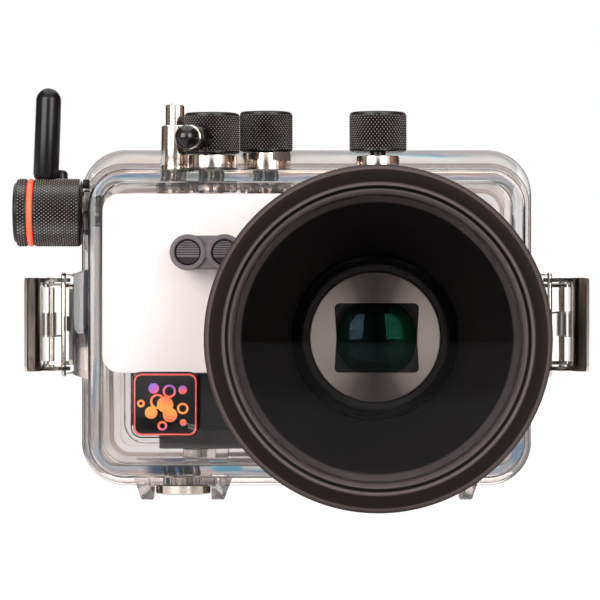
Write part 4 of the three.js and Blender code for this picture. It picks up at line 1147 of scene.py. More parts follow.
@dataclass
class RearLid:
    """The clear lid with its seal lip and latch ledges, its seal and the five rear buttons."""

    front: float = 0.3
    back: float = 7.3
    panel_back: float = 4.3
    ledge_half: float = 15.2
    ledge_back: float = 5.2

    def build(self) -> None:
        """Models the lid, the seal and the buttons and fits them."""
        lid = slab("lid", LID_XS, (self.front, self.back), LID_ZS, 15.0, 1.0, steps=20)
        panel = slab("panel", (LID_XS[0] + 14, LID_XS[1] - 14), (self.panel_back, self.back + 3),
                     (LID_ZS[0] + 14, LID_ZS[1] - 16), 8.0, 0.8)
        cut(lid, panel)
        join(lid, self.lip(), *self.ledges(), *self.bosses())
        for x, z in rear_places():
            hole = lathe("hole", [(0, -2), (1.9, -2), (1.9, 12), (0, 12)], Axis.Y, place(x, 0, z), 32)
            cut(lid, hole)
        smooth(lid, 25)
        fit(lid, "clear_rear_lid", LID_CLEAR, "lid", "rear_lid")
        seal = cut(self.mouth(0.3, -3.0, -1.4, "seal"), self.mouth(1.8, -4.0, 0.0, "core"))
        soften(seal, 0.3, 3)
        smooth(seal)
        fit(seal, "moulded_lid_seal", PALE_SILICONE, "lid", "lid_seal")
        self.buttons()

    def mouth(self, shrink: float, y0: float, y1: float, name: str) -> Obj:
        """A slab with the outline of the case's mouth, drawn in by a distance."""
        return slab(name, (CASE_XS[0] + 4 + shrink, CASE_XS[1] - 4 - shrink), (y0, y1),
                    (CASE_ZS[0] + 4 + shrink, CASE_ZS[1] - 4 - shrink), 8.5 - shrink, steps=16)

    def lip(self) -> Obj:
        """The lip that enters the mouth, with the groove for the seal."""
        lip = cut(self.mouth(0.5, -4.2, 1.3, "lip"), self.mouth(4.2, -6.0, 3.0, "core"))
        groove = cut(self.mouth(0.0, -3.3, -1.1, "groove"), self.mouth(2.1, -4.0, 0.0, "core"))
        return cut(lip, groove)

    def ledges(self) -> list[Obj]:
        """Ledges at the sides that the bails reach behind."""
        made = []
        for edge, sign in ((LID_XS[0], -1), (LID_XS[1], 1)):
            half = self.ledge_half
            points = [(edge - sign * 3, LATCH_Z - half), (edge - sign * 3, LATCH_Z + half),
                      (edge + sign * 0.6, LATCH_Z + half), (edge + sign * 2.3, LATCH_Z + half - 2),
                      (edge + sign * 2.3, LATCH_Z - half + 2), (edge + sign * 0.6, LATCH_Z - half)]
            sweep = Vector((0, (self.front - self.ledge_back) * MM, 0))
            made.append(outline("ledge", y_points(points, self.ledge_back), sweep, 0.3))
        return made

    def bosses(self) -> list[Obj]:
        """Bosses that guide the buttons' stems."""
        return [lathe("boss", [(0, 1.3), (4.6, 1.3), (4.6, 6.9), (4.2, 7.3), (0, 7.3)], Axis.Y,
                      place(x, 0, z), 48)
                for x, z in rear_places()]

    def buttons(self) -> None:
        """Five domed buttons with their stems and soft tips."""
        profile = [(0, -4), (2.3, -4), (2.6, -3.7), (2.6, -2.2), (1.6, -2.2), (1.6, 10.3), (4, 10.3),
                   (4, 12.5), *arc(3.0, 12.5, 1.0, 0, 80), (1.5, 13.75), (0, 13.8)]
        for which, (x, z) in zip(("set", "left", "right", "up", "down"), rear_places()):
            button = lathe("button", profile, Axis.Y, place(x, 0, z), 64)
            fit(button, f"domed_button_{which}", BLACK_ACETAL, f"button_{which}", f"rear_button_{which}")


@dataclass
class Port:
    """The big black port: bell, front ring, flat glass, seals and nut."""

    sides: int = 160

    def build(self) -> None:
        """Models and fits the port's pieces."""
        bell = [(27, -40.6), (34.7, -40.6), (34.7, -48.3), (37.2, -48.3), (37.2, -50.2), (39.8, -50.2),
                (39.8, -48.3), (47, -48.3), (47, -53), (50.5, -60), (52.6, -66), (52.6, -84), (54, -84.6),
                (54, -86.2), (46.4, -86.2), (46.4, -81.1), (44.4, -81.1), (43.2, -80), (42.0, -79.2),
                (27.6, -53.6), (27, -52), (27, -40.6)]
        fit(lathe("bell", bell, Axis.Y, ORIGIN, self.sides, 0.18), "port_bell", PORT_BLACK, "case",
            "port_body")
        ring = [(54, -86.5), (54, -93.5), (52.5, -95), (48.2, -95), (47.9, -94.6), (47.5, -94.6),
                (47.5, -92.6), (46, -92.6), (46, -88.6), (44.8, -87.4), (44.8, -86.5), (54, -86.5)]
        fit(lathe("ring", ring, Axis.Y, ORIGIN, self.sides, 0.15), "port_threaded_ring", PORT_SATIN, "case",
            "port_front_ring")
        glass = [(0, -86.2), (45.6, -86.2), (45.9, -85.9), (45.9, -83.3), (45.6, -83), (0, -83)]
        fit(lathe("glass", glass, Axis.Y, ORIGIN, self.sides), "port_flat_glass", PORT_GLASS, "case",
            "port_glass")
        fit(self.seal(45.4, -82.0, 0.65), "port_glass_o_ring", NITRILE, "case", "port_glass_seal")
        fit(self.seal(38.5, -49.1, 0.75), "port_face_o_ring", NITRILE, "case", "port_seal")
        self.nut()

    def seal(self, r: float, y: float, section: float) -> Obj:
        """An O-ring about the port's axis."""
        return lathe("seal", arc(r, y, section, 0, 360, 12), Axis.Y, ORIGIN, self.sides)

    def nut(self) -> None:
        """The threaded ring inside the case, with six notches for a spanner."""
        profile = [(35, -43.7), (40.5, -43.7), (40.5, -41), (35, -41), (35, -43.7)]
        nut = lathe("nut", profile, Axis.Y, ORIGIN, self.sides, 0.2)
        for angle in (0, 60, 120):
            bar = block("bar", place(-50, -42.4, -1.6), place(50, -40, 1.6))
            turn = Matrix.Rotation(math.radians(angle), 4, "Y")
            bar.data.transform(Matrix.Translation(ORIGIN) @ turn @ Matrix.Translation(-ORIGIN))
            cut(nut, bar)
        smooth(nut)
        fit(nut, "port_lock_nut", SATIN_ACETAL, "case", "port_nut")


@dataclass
class FrontFittings:
    """The fibre socket block with its plugs, the flash diffuser and the badge."""

    socket_z: float = 27.3

    def build(self) -> None:
        """Models and fits the pieces on the front wall."""
        self.block_and_plugs()
        plate = slab("plate", (-88.3, -20), (-43.6, -41.6), (-11.7, 46.4), 6.0, 0.4)
        round_cut = lathe("cut", [(0, -46), (41.5, -46), (41.5, -40), (0, -40)], Axis.Y, ORIGIN, 128)
        cut(plate, round_cut)
        smooth(plate)
        fit(plate, "frosted_flash_diffuser", WHITE_ACRYLIC, "case", "flash_diffuser")
        self.badge()

    def block_and_plugs(self) -> None:
        """Two rims over a straight base, with a web between them and a ribbed plug in each."""
        z = self.socket_z
        left, right = -60.2, -48.4
        base = slab("base", (left - 5.4, right + 5.4), (-55.8, -48.3), (z - 5.4, z + 5.4), 5.3, 0.4)
        profile = [(0, -49), (5.8, -49), (5.8, -56.7), (5.5, -57), (4.5, -57), (4.2, -56.7), (0, -56.7)]
        for x in (left, right):
            join(base, lathe("rim", profile, Axis.Y, place(x, 0, z), 96))
        middle = (left + right) / 2
        for sign in (-1, 1):
            points = [(middle - 3.2, z + sign * 4.6), (middle - 0.9, z), (middle + 0.9, z),
                      (middle + 3.2, z + sign * 4.6), (middle, z + sign * 1.7)]
            web = outline("web", y_points(points, -56.6), Vector((0, 4 * MM, 0)), 0.1)
            join(base, web)
        for x in (left, right):
            hole = lathe("hole", [(0, -58), (4.2, -58), (4.2, -50), (0, -50)], Axis.Y, place(x, 0, z), 96)
            cut(base, hole)
        smooth(base)
        fit(base, "fibre_socket_block", GREY_ABS, "case", "fiber_block")
        self.plug(left, "left")
        self.plug(right, "right")

    def plug(self, x: float, side: str) -> None:
        """A plug: fine ribs over its upper two thirds, plain and darker below."""
        z = self.socket_z
        disc = lathe("disc", [(0, -50.6), (3.9, -50.6), (3.9, -55.2), (3.7, -55.4), (0, -55.4)], Axis.Y,
                     place(x, 0, z), 64)
        ribs = []
        count = 9
        reach = 3.75
        for i in range(count):
            level = -1.0 + 4.5 * i / (count - 1)
            half = math.sqrt(reach ** 2 - level ** 2)
            ribs.append(slab("rib", (x - half, x + half), (-56.2, -55.2),
                             (z + level - 0.15, z + level + 0.15), 0.12, axis=Axis.X, steps=3))
        half = math.sqrt(reach ** 2 - 1.45 ** 2)
        ribs.append(slab("step", (x - half, x + half), (-56.0, -55.2), (z - 1.6, z - 1.25), 0.1, axis=Axis.X,
                         steps=3))
        fit(disc, f"plug_disc_{side}", PLUG_DARK, "case")
        fit(gather(ribs, "ribs"), f"ribbed_plug_{side}", RIB_NYLON, "case", f"fiber_plug_{side}")

    def badge(self) -> None:
        """A clear rimmed plate with a printed border, black lacquer, bubbles and a resin dome."""
        rim = slab("rim", (-78.8, -56.6), (-50.9, -48.3), (-32.5, -11.1), 3.5, 0.5)
        recess = slab("recess", (-77.9, -57.4), (-53, -50.2), (-31.7, -11.65), 2.6)
        cut(rim, recess)
        smooth(rim)
        fit(rim, "badge_clear_rim", DOME_RESIN, "case", "badge_plate")
        border = slab("border", (-77.8, -57.5), (-50.55, -50.25), (-31.6, -11.75), 2.5)
        fit(border, "badge_printed_border", BADGE_BORDER, "case")
        field = slab("field", (-77.2, -58.1), (-50.65, -50.3), (-31.0, -12.35), 2.0)
        fit(field, "badge_lacquer_field", BADGE_LACQUER, "case")
        fit(self.bubbles(), "badge_bubbles", BADGE_PRINT, "case")
        dome = slab("dome", (-77.75, -57.55), (-51.7, -50.75), (-31.55, -11.8), 2.5, 0.85)
        fit(dome, "badge_resin_dome", DOME_RESIN, "case")

    def bubbles(self) -> Obj:
        """A rising swirl of rings and dots, set out by a spiral formula."""
        made = []
        golden_angle = 137.5
        for i in range(11):
            angle = math.radians(golden_angle * i + 20)
            reach = 2.6 * math.sqrt(i)
            x, z = -67.65 + reach * math.cos(angle), -21.7 + reach * math.sin(angle)
            r = 2.6 - 0.15 * i
            if i % 2:
                profile = [(r - 0.7, -50.66), (r, -50.66), (r, -50.74), (r - 0.7, -50.74), (r - 0.7, -50.66)]
            else:
                profile = [(0, -50.66), (r, -50.66), (r, -50.72), (r * 0.6, -50.74), (0, -50.745)]
            made.append(lathe("bubble", profile, Axis.Y, place(x, 0, z), 40))
        return gather(made, "bubbles")


@dataclass
class Camera:
    """The generic compact camera inside, its lens, tray and screw."""

    front: float = -34.0
    back: float = -7.0

    def build(self) -> None:
        """Models and fits the camera."""
        body = slab("body", (-76, 41.5), (self.front, self.back), (-30, 32), 5.0, 1.2)
        join(body, slab("grip", (-79, -65), (-39, -13), (-30, 18), 4.0, 2.0))
        collar = [(0, -33), (26.2, -33), (26.2, -39.6), (25.6, -40.2), (0, -40.2)]
        join(body, lathe("collar", collar, Axis.Y, ORIGIN, 128))
        well = [(0, -60), (24.5, -60), (24.5, self.back - 3), (0, self.back - 3)]
        cut(body, lathe("well", well, Axis.Y, ORIGIN, 128))
        cut(body, slab("window", (-68, -8), (self.back - 0.5, self.back + 2), (-22, 24), 2.0))
        smooth(body)
        fit(body, "camera_shell", CAMERA_PAINT, "case", "camera_body")
        self.details()
        self.lens()
        self.tray()

    def details(self) -> None:
        """Dials, release, display, keys, grip skin and shoe."""
        dial = [(0, 31.5), (8, 31.5), (8, 36.1), (7.6, 36.6), (6.2, 36.6), (6, 36.3), (0, 36.3)]
        fit(lathe("dial", dial, Axis.Z, place(*MODE_AT, 0), 48, 0.1), "camera_mode_dial", LENS_BLACK, "case")
        release = [(0, 31.5), (4.4, 31.5), (4.4, 33.0), (4.0, 33.4), (1.5, 33.6), (0, 33.55)]
        fit(lathe("release", release, Axis.Z, place(-60.5, -27, 0), 48), "camera_release", POLISHED_STEEL,
            "case")
        display = slab("display", (-3.5, 36.5), (self.back - 0.6, self.back + 0.25), (-24, 22), 1.5, 0.15)
        fit(display, "camera_display", DISPLAY_GLASS, "case")
        pad = [(5.2, -7.6), (9.2, -7.6), (9.2, -6.75), (8.8, -6.56), (5.6, -6.56), (5.2, -6.75), (5.2, -7.6)]
        keys = [lathe("pad", pad, Axis.Y, place(REAR_PAD[0], 0, REAR_PAD[1]), 64)]
        key = [(0, -7.6), (1.9, -7.6), (1.9, -6.75), (1.5, -6.6), (0, -6.56)]
        for x, z in ((-52, -4), (-62, 18), (-44, 18), (-62, -24), (-44, -24)):
            keys.append(lathe("key", key, Axis.Y, place(x, 0, z), 32))
        fit(gather(keys, "keys"), "camera_keys", LENS_BLACK, "case")
        skin = slab("skin", (-79.3, -67), (-39.3, -20), (-26, 15), 3.6, 1.2)
        fit(skin, "camera_grip_skin", LEATHERETTE, "case")
        shoe = cut(slab("shoe", (-9, 9), (-26, -9), (31.8, 34.2), 0.8, axis=Axis.Z),
                   slab("slot", (-6, 6), (-25, -5), (32.9, 36), 0.5, axis=Axis.Z))
        fit(shoe, "camera_accessory_shoe", POLISHED_STEEL, "case")

    def lens(self) -> None:
        """The barrel with its satin front plate, stepped baffles and coated front element."""
        barrel = [(0, -12), (24, -12), (24, -50.9), (23.3, -51.9), (21.5, -51.9), (21.2, -51.4), (0, -51.4)]
        tube = lathe("tube", barrel, Axis.Y, ORIGIN, 128, 0.1)
        face = [(0, -50.4), (20.85, -50.4), (20.85, -52.3), (20.65, -52.5), (0, -52.5)]
        plate = lathe("plate", face, Axis.Y, ORIGIN, 128)
        cut(plate, self.window(0, -50))
        middle = place(LENS_MIDDLE[0], 0, LENS_MIDDLE[1])
        well = [(0, -60), (14.6, -60), (14.6, -50.2), (14.2, -50.0), (14.2, -49.4), (13.7, -49.2),
                (13.7, -48.6), (13.2, -48.4), (13.2, -42.4), (0, -42.4)]
        cut(tube, lathe("well", well, Axis.Y, middle, 96))
        smooth(tube)
        smooth(plate)
        fit(tube, "lens_tube", LENS_BLACK, "lens", "lens_barrel")
        fit(plate, "lens_front_plate", LENS_PLATE, "lens")
        front = [(r, -48.4 + 3.2 * (r / 13) ** 2) for r in (12.9, 11, 9, 7, 5, 3.3, 1.6, 0)]
        element = lathe("element", [(0, -42.8), (12.9, -42.8), *front], Axis.Y, middle, 96)
        fit(element, "lens_front_element", COATED_GLASS, "lens", "lens_element")

    def window(self, inset: float, back: float) -> Obj:
        """The cutter of the lens's window: a rounded rectangle whose sides bow in slightly."""
        x0, x1, z0, z1 = -13.1 + inset, 14.1 - inset, -11.4 + inset, 11.0 - inset
        r = 1.6
        corners = [(x1 - r, z0 + r, -90), (x1 - r, z1 - r, 0), (x0 + r, z1 - r, 90), (x0 + r, z0 + r, 180)]
        points = []
        for k, (x, z, start) in enumerate(corners):
            points += arc(x, z, r, start, start + 90, 6)
            if k == 0:
                points.append((x1 - 0.6, (z0 + z1) / 2))
            if k == 2:
                points.append((x0 + 0.6, (z0 + z1) / 2))
        return outline("window", y_points(points, -60), Vector((0, (back + 60) * MM, 0)))

    def tray(self) -> None:
        """The tray under the camera with its clamp screw and pads."""
        plate = slab("tray", (-70.3, 36), (-33, -9), (-36.8, -30.3), 2.0, 0.5, axis=Axis.Z)
        bore = [(0, -40), (3.5, -40), (3.5, -25), (0, -25)]
        cut(plate, lathe("hole", bore, Axis.Z, place(*TRAY_SCREW_AT, 0), 48))
        smooth(plate)
        fit(plate, "moulded_camera_tray", SHADED_TRAY_ABS, "case", "camera_tray")
        profile = [(0, -40.2), (3.9, -40.2), (4.2, -39.9), (4.2, -37.4), (3.9, -37.1), (3.1, -37.1),
                   (3.1, -30.3), (0, -30.3)]
        screw = lathe("screw", profile, Axis.Z, place(*TRAY_SCREW_AT, 0), 64)
        slot = block("slot", place(-64, -24.6, -41), place(-53, -23.4, -39.2))
        cut(screw, slot)
        smooth(screw)
        fit(screw, "tray_clamp_screw", POLISHED_STEEL, "case", "camera_screw")
        stop = slab("stop", (-54.4, -51.6), (-33.4, -30.5), (-39.9, -36.9), 0.5, 0.2)
        fit(stop, "tray_white_stop", WHITE_ACRYLIC, "case")


@dataclass
class Controls:
    """Everything on the roof: glands, push button, knobs, the zoom lever and their shafts."""

    knob_hole: float = 2.9
    shaft: float = 2.6
    ball: Point = (-60.75, -50.0)

    def build(self) -> None:
        """Models and fits the controls."""
        self.power()
        self.knob("zoom", ZOOM_AT, 9.25, (59.9, 73.3), 8.1, 59.4)
        self.knob("mode", MODE_AT, 8.95, (61.3, 74.7), 8.4, 60.9)
        self.knob("ring", RING_AT, 9.45, (60.3, 73.3), 7.3, 58.9)
        self.small_parts()
        self.lever()
        self.shafts()

    def power(self) -> None:
        """The push button in its tall gland, with its spring."""
        at = place(*POWER_AT, 0)
        gland = [(1.9, 45.4), (4, 45.4), (4, 54.7), (4.95, 54.7), (4.95, 56.2), (4.75, 56.25), (4.75, 56.45),
                 (4.92, 56.5), (4.7, 69.3), (4.3, 69.7), (3.65, 69.7), (3.65, 55.6), (1.9, 55.6), (1.9, 45.4)]
        fit(lathe("gland", gland, Axis.Z, at, 96, 0.06), "power_gland_turned", TURNED_NICKEL, "case",
            "power_gland")
        button = [(0, 35.4), (2.3, 35.4), (2.3, 37.8), (1.5, 37.8), (1.5, 61.4), (3.3, 61.4), (3.3, 76.0),
                  *arc(2.7, 76.0, 0.6, 0, 70), (1.4, 77.1), (0, 77.4)]
        fit(lathe("button", button, Axis.Z, at, 96), "power_push_button", TURNED_NICKEL, "power",
            "power_button")
        spring = wire("spring", helix(at, 2.5, 56.2, 61.1, 6), 0.3)
        fit(spring, "power_return_spring", SPRING_STEEL, "case", "power_spring")

    def knob(self, which: str, at: Point, r: float, zs: Point, gland_r: float, gland_top: float) -> None:
        """A knurled knob over its gland.

        Args:
            which: Name of the control.
            at: Place of its axis as [x, y].
            r: Radius of the knob over the knurl.
            zs: Lowest and highest Z of the knob.
            gland_r: Radius of the gland.
            gland_top: Top of the gland.
        """
        axis = place(*at, 0)
        low, high = zs
        core = r - 0.9
        body = [(self.knob_hole, low), (r - 0.9, low), (r - 0.45, low + 0.25), (core, low + 0.3),
                (core, high - 0.8), (r - 0.3, high - 0.75), *arc(r - 1.0, high - 0.7, 0.7, 0, 90),
                (1.5, high), (1.1, high - 0.3), (0, high - 0.3), (0, high - 4), (self.knob_hole, high - 4),
                (self.knob_hole, low)]
        turned = lathe("knob", body, Axis.Z, axis, 96)
        band = knurl("band", r, (low + 0.25, high - 0.7), Axis.Z, axis)
        if which == "zoom":
            turned, band = (cut(part, self.lever_hole()) for part in (turned, band))
        finish = anodised_knurl(f"knurled_black_anodised_{which}", Axis.Z, (*at, 0), r)
        fit(gather([turned, band], "knob"), f"{which}_knurled_knob", finish, which, f"{which}_knob")
        bore = self.shaft + 0.3
        gland = [(bore, 45.4), (4, 45.4), (4, 54.7), (gland_r - 0.1, 54.7), (gland_r, 54.8),
                 (gland_r, gland_top - 0.15), (gland_r - 0.15, gland_top), (bore, gland_top), (bore, 45.4)]
        fit(lathe("gland", gland, Axis.Z, axis, 96, 0.06), f"{which}_gland_turned", TURNED_NICKEL, "case",
            f"{which}_gland")

    def small_parts(self) -> None:
        """The stop on the second gland and the seal under the first."""
        lug = slab("lug", (-33.1, -27.3), (-24, -14.5), (58.3, 61.1), 0.5, 0.15, axis=Axis.Z)
        disc = lathe("disc", [(0, 58), (8.75, 58), (8.75, 62), (0, 62)], Axis.Z, place(*MODE_AT, 0), 64)
        combine(lug, disc, Cut.KEEP)
        smooth(lug)
        fit(lug, "mode_gland_stop", BROWN_ACETAL, "case")
        seal = lathe("seal", arc(8.0, 54.85, 0.42, 0, 360, 10), Axis.Z, place(*ZOOM_AT, 0), 96)
        fit(seal, "zoom_gland_seal", NITRILE, "case")

    def lever_hole(self) -> Obj:
        """The hole in the zoom knob that the lever's rod screws into."""
        hole = lathe("hole", [(0, 5.5), (1.7, 5.5), (1.7, 12), (0, 12)], Axis.X, Vector((0, 0, 0)), 32)
        hole.data.transform(self.lever_matrix())
        return hole

    def lever_matrix(self) -> Matrix:
        """Takes a piece drawn along +X to the zoom lever's direction and place."""
        turn = math.atan2(self.ball[1] - ZOOM_AT[1], self.ball[0] - ZOOM_AT[0])
        return Matrix.Translation(place(*ZOOM_AT, 64.6)) @ Matrix.Rotation(turn, 4, "Z")

    def lever(self) -> None:
        """The zoom lever: a tapered black sleeve, a bright ferrule and a polished ball."""
        reach = math.hypot(self.ball[0] - ZOOM_AT[0], self.ball[1] - ZOOM_AT[1])
        foot = 9.65
        rod = [(0, 6), (1.3, 6), (1.3, foot), (4.3, foot), (4.6, foot + 0.4), (3.9, reach - 5.4),
               (0, reach - 5.4)]
        ferrule = [(0, reach - 5.4), (3.3, reach - 5.4), (4.0, reach - 2.4), (3.7, reach - 2.1),
                   (0, reach - 2.1)]
        ball = [(0, reach - 3.9), *arc(0, reach, 3.9, -75, 90, 24)]
        pieces = [(rod, "zoom_lever_sleeve", SATIN_ACETAL, ["zoom_lever"]),
                  (ferrule, "zoom_lever_ferrule", TURNED_NICKEL, []),
                  (ball, "zoom_lever_ball", BLACK_ACETAL, [])]
        for profile, name, finish, nodes in pieces:
            piece = lathe("piece", profile, Axis.X, Vector((0, 0, 0)), 64, 0.1)
            piece.data.transform(self.lever_matrix())
            fit(piece, name, finish, "zoom", *nodes)

    def shafts(self) -> None:
        """The three shafts: a fork, a cup and a roller inside the case."""
        r = self.shaft
        zoom = lathe("shaft", [(0, 38), (r, 38), (r, 69.0), (0, 69.0)], Axis.Z, place(*ZOOM_AT, 0), 48, 0.1)
        x, y = ZOOM_AT
        prongs = [block("prong", place(x - 1.6, y + low, 34.4), place(x + 1.6, y + low + 2.4, 38))
                  for low in (-6, 3.6)]
        join(zoom, block("fork", place(x - 1.6, y - 6, 37), place(x + 1.6, y + 6, 40)), *prongs)
        soften(zoom, 0.2)
        smooth(zoom)
        fit(zoom, "zoom_fork_shaft", POLISHED_STEEL, "zoom", "zoom_shaft")
        cup = [(0, 39.5), (8.4, 39.5), (8.4, 33.6), (9.8, 33.6), (9.8, 42.0), (9.4, 42.4), (r, 42.4),
               (r, 70.4), (0, 70.4)]
        fit(lathe("cup", cup, Axis.Z, place(*MODE_AT, 0), 64, 0.1), "mode_cup_shaft", SATIN_ACETAL, "mode",
            "mode_shaft")
        roller = [(0, 26.8), (2.6, 26.8), (2.9, 27.1), (2.9, 31), (r, 31.2), (r, 69.0), (0, 69.0)]
        fit(lathe("roller", roller, Axis.Z, place(*RING_AT, 0), 64), "ring_roller_shaft", SATIN_ACETAL,
            "ring", "ring_shaft")


@dataclass
class Shutter:
    """The shutter control at the left: drum, orange ring, finger lever, shaft and gland."""

    radius: float = 11.2
    ends: Point = (-117.6, -95.6)
    groove: Point = (-113.3, -111.0)
    lever_x: float = -107.4
    lean: float = 2.2
    lever_length: float = 29.3

    def build(self) -> None:
        """Models and fits the shutter control."""
        y, z = SHUTTER_YZ
        axis = place(0, y, z)
        r = self.radius
        low, high = self.ends
        cut0, cut1 = self.groove
        drum = [(0, low), (r - 1.9, low), (r - 1.4, low + 0.4), (r - 1.4, low + 0.9), (r - 0.9, low + 1.0),
                (r - 0.9, cut0 - 0.1), (9.2, cut0), (9.2, cut1), (r - 0.9, cut1 + 0.1), (r - 0.9, high - 0.6),
                (r - 0.5, high - 0.5), (r - 0.9, high), (2.9, high), (2.9, -109.9), (0, -109.9)]
        turned = lathe("drum", drum, Axis.X, axis, 112)
        bands = [knurl("band", r, ends, Axis.X, axis) for ends in ((low + 1.0, cut0), (cut1, high - 0.5))]
        socket = lathe("socket", [(0, -6.2), (2.6, -6.2), (2.6, 2), (0, 2)], Axis.Z, Vector((0, 0, 0)), 48)
        socket.data.transform(self.leaned())
        cutter = twin(socket, Matrix.Identity(4))
        turned = cut(turned, socket)
        bands[1] = cut(bands[1], cutter)
        finish = anodised_knurl("knurled_black_anodised_drum", Axis.X, (0, y, z), r)
        fit(gather([turned, *bands], "drum"), "shutter_knurled_drum", finish, "shutter", "shutter_drum")
        ring = [(9.35, cut0 + 0.15), (10.7, cut0 + 0.15), *arc(10.15, (cut0 + cut1) / 2, 1.0, -72, 72, 8),
                (10.7, cut1 - 0.15), (9.35, cut1 - 0.15), (9.35, cut0 + 0.15)]
        fit(lathe("ring", ring, Axis.X, axis, 112), "shutter_orange_ring", RED_SILICONE, "shutter",
            "shutter_ring")
        stop = slab("stop", (-95.3, -93.2), (y, y + 6), (48.5, 51.5), 0.4, 0.2)
        fit(stop, "shutter_stop_block", SATIN_ACETAL, "case")
        self.lever()
        self.shaft_and_gland(axis)

    def leaned(self) -> Matrix:
        """Takes a piece that stands on the origin to the drum's top, at the lever's lean."""
        y, z = SHUTTER_YZ
        top = place(self.lever_x, y, z + self.radius + 0.3)
        return Matrix.Translation(top) @ Matrix.Rotation(math.radians(self.lean), 4, "Y")

    def lever(self) -> None:
        """The finger lever: a rod with a domed end, and the stop stud beside its foot."""
        length = self.lever_length
        rod = [(0, -5.6), (2.3, -5.6), (2.3, -0.6), (3.5, -0.6), (3.95, 0.1), (4.2, 1.0),
               *arc(0, length - 4.2, 4.2, 0, 90, 14)]
        piece = lathe("rod", rod, Axis.Z, Vector((0, 0, 0)), 72)
        piece.data.transform(self.leaned())
        fit(piece, "shutter_finger_lever", SATIN_ACETAL, "shutter", "shutter_lever")
        stud = [(0, 49.5), (2.2, 49.5), (2.2, 53.2), *arc(0.7, 53.2, 1.5, 0, 80, 8), (0, 54.8)]
        fit(lathe("stud", stud, Axis.Z, place(-102.6, SHUTTER_YZ[0] + 3, 0), 48), "shutter_stop_stud",
            SATIN_ACETAL, "shutter")

    def shaft_and_gland(self, axis: Vector) -> None:
        """The shaft with the arm that presses the release, and the gland it turns in."""
        y, z = SHUTTER_YZ
        profile = [(0, -109.5), (2.1, -109.5), (2.1, -63.4), (3.6, -63.4), (3.6, -57.8), (0, -57.8)]
        shaft = lathe("shaft", profile, Axis.X, axis, 48, 0.1)
        for ys, zs in (((y - 1.4, y + 8.8), (z - 1.4, z + 1.4)), ((y + 5.8, y + 8.8), (z - 4.2, z + 1))):
            join(shaft, slab("arm", (-62.6, -58.4), ys, zs, 0.5, axis=Axis.X))
        smooth(shaft)
        fit(shaft, "shutter_arm_shaft", POLISHED_STEEL, "shutter", "shutter_shaft")
        seat = CASE_XS[0] - 1.6
        gland = [(2.4, seat - 0.7), (6.2, seat - 0.7), (6.4, seat - 0.5), (6.4, seat), (5, seat),
                 (5, seat + 9.7), (2.4, seat + 9.7), (2.4, seat - 0.7)]
        fit(lathe("gland", gland, Axis.X, axis, 96), "shutter_gland_turned", TURNED_NICKEL, "case",
            "shutter_gland")


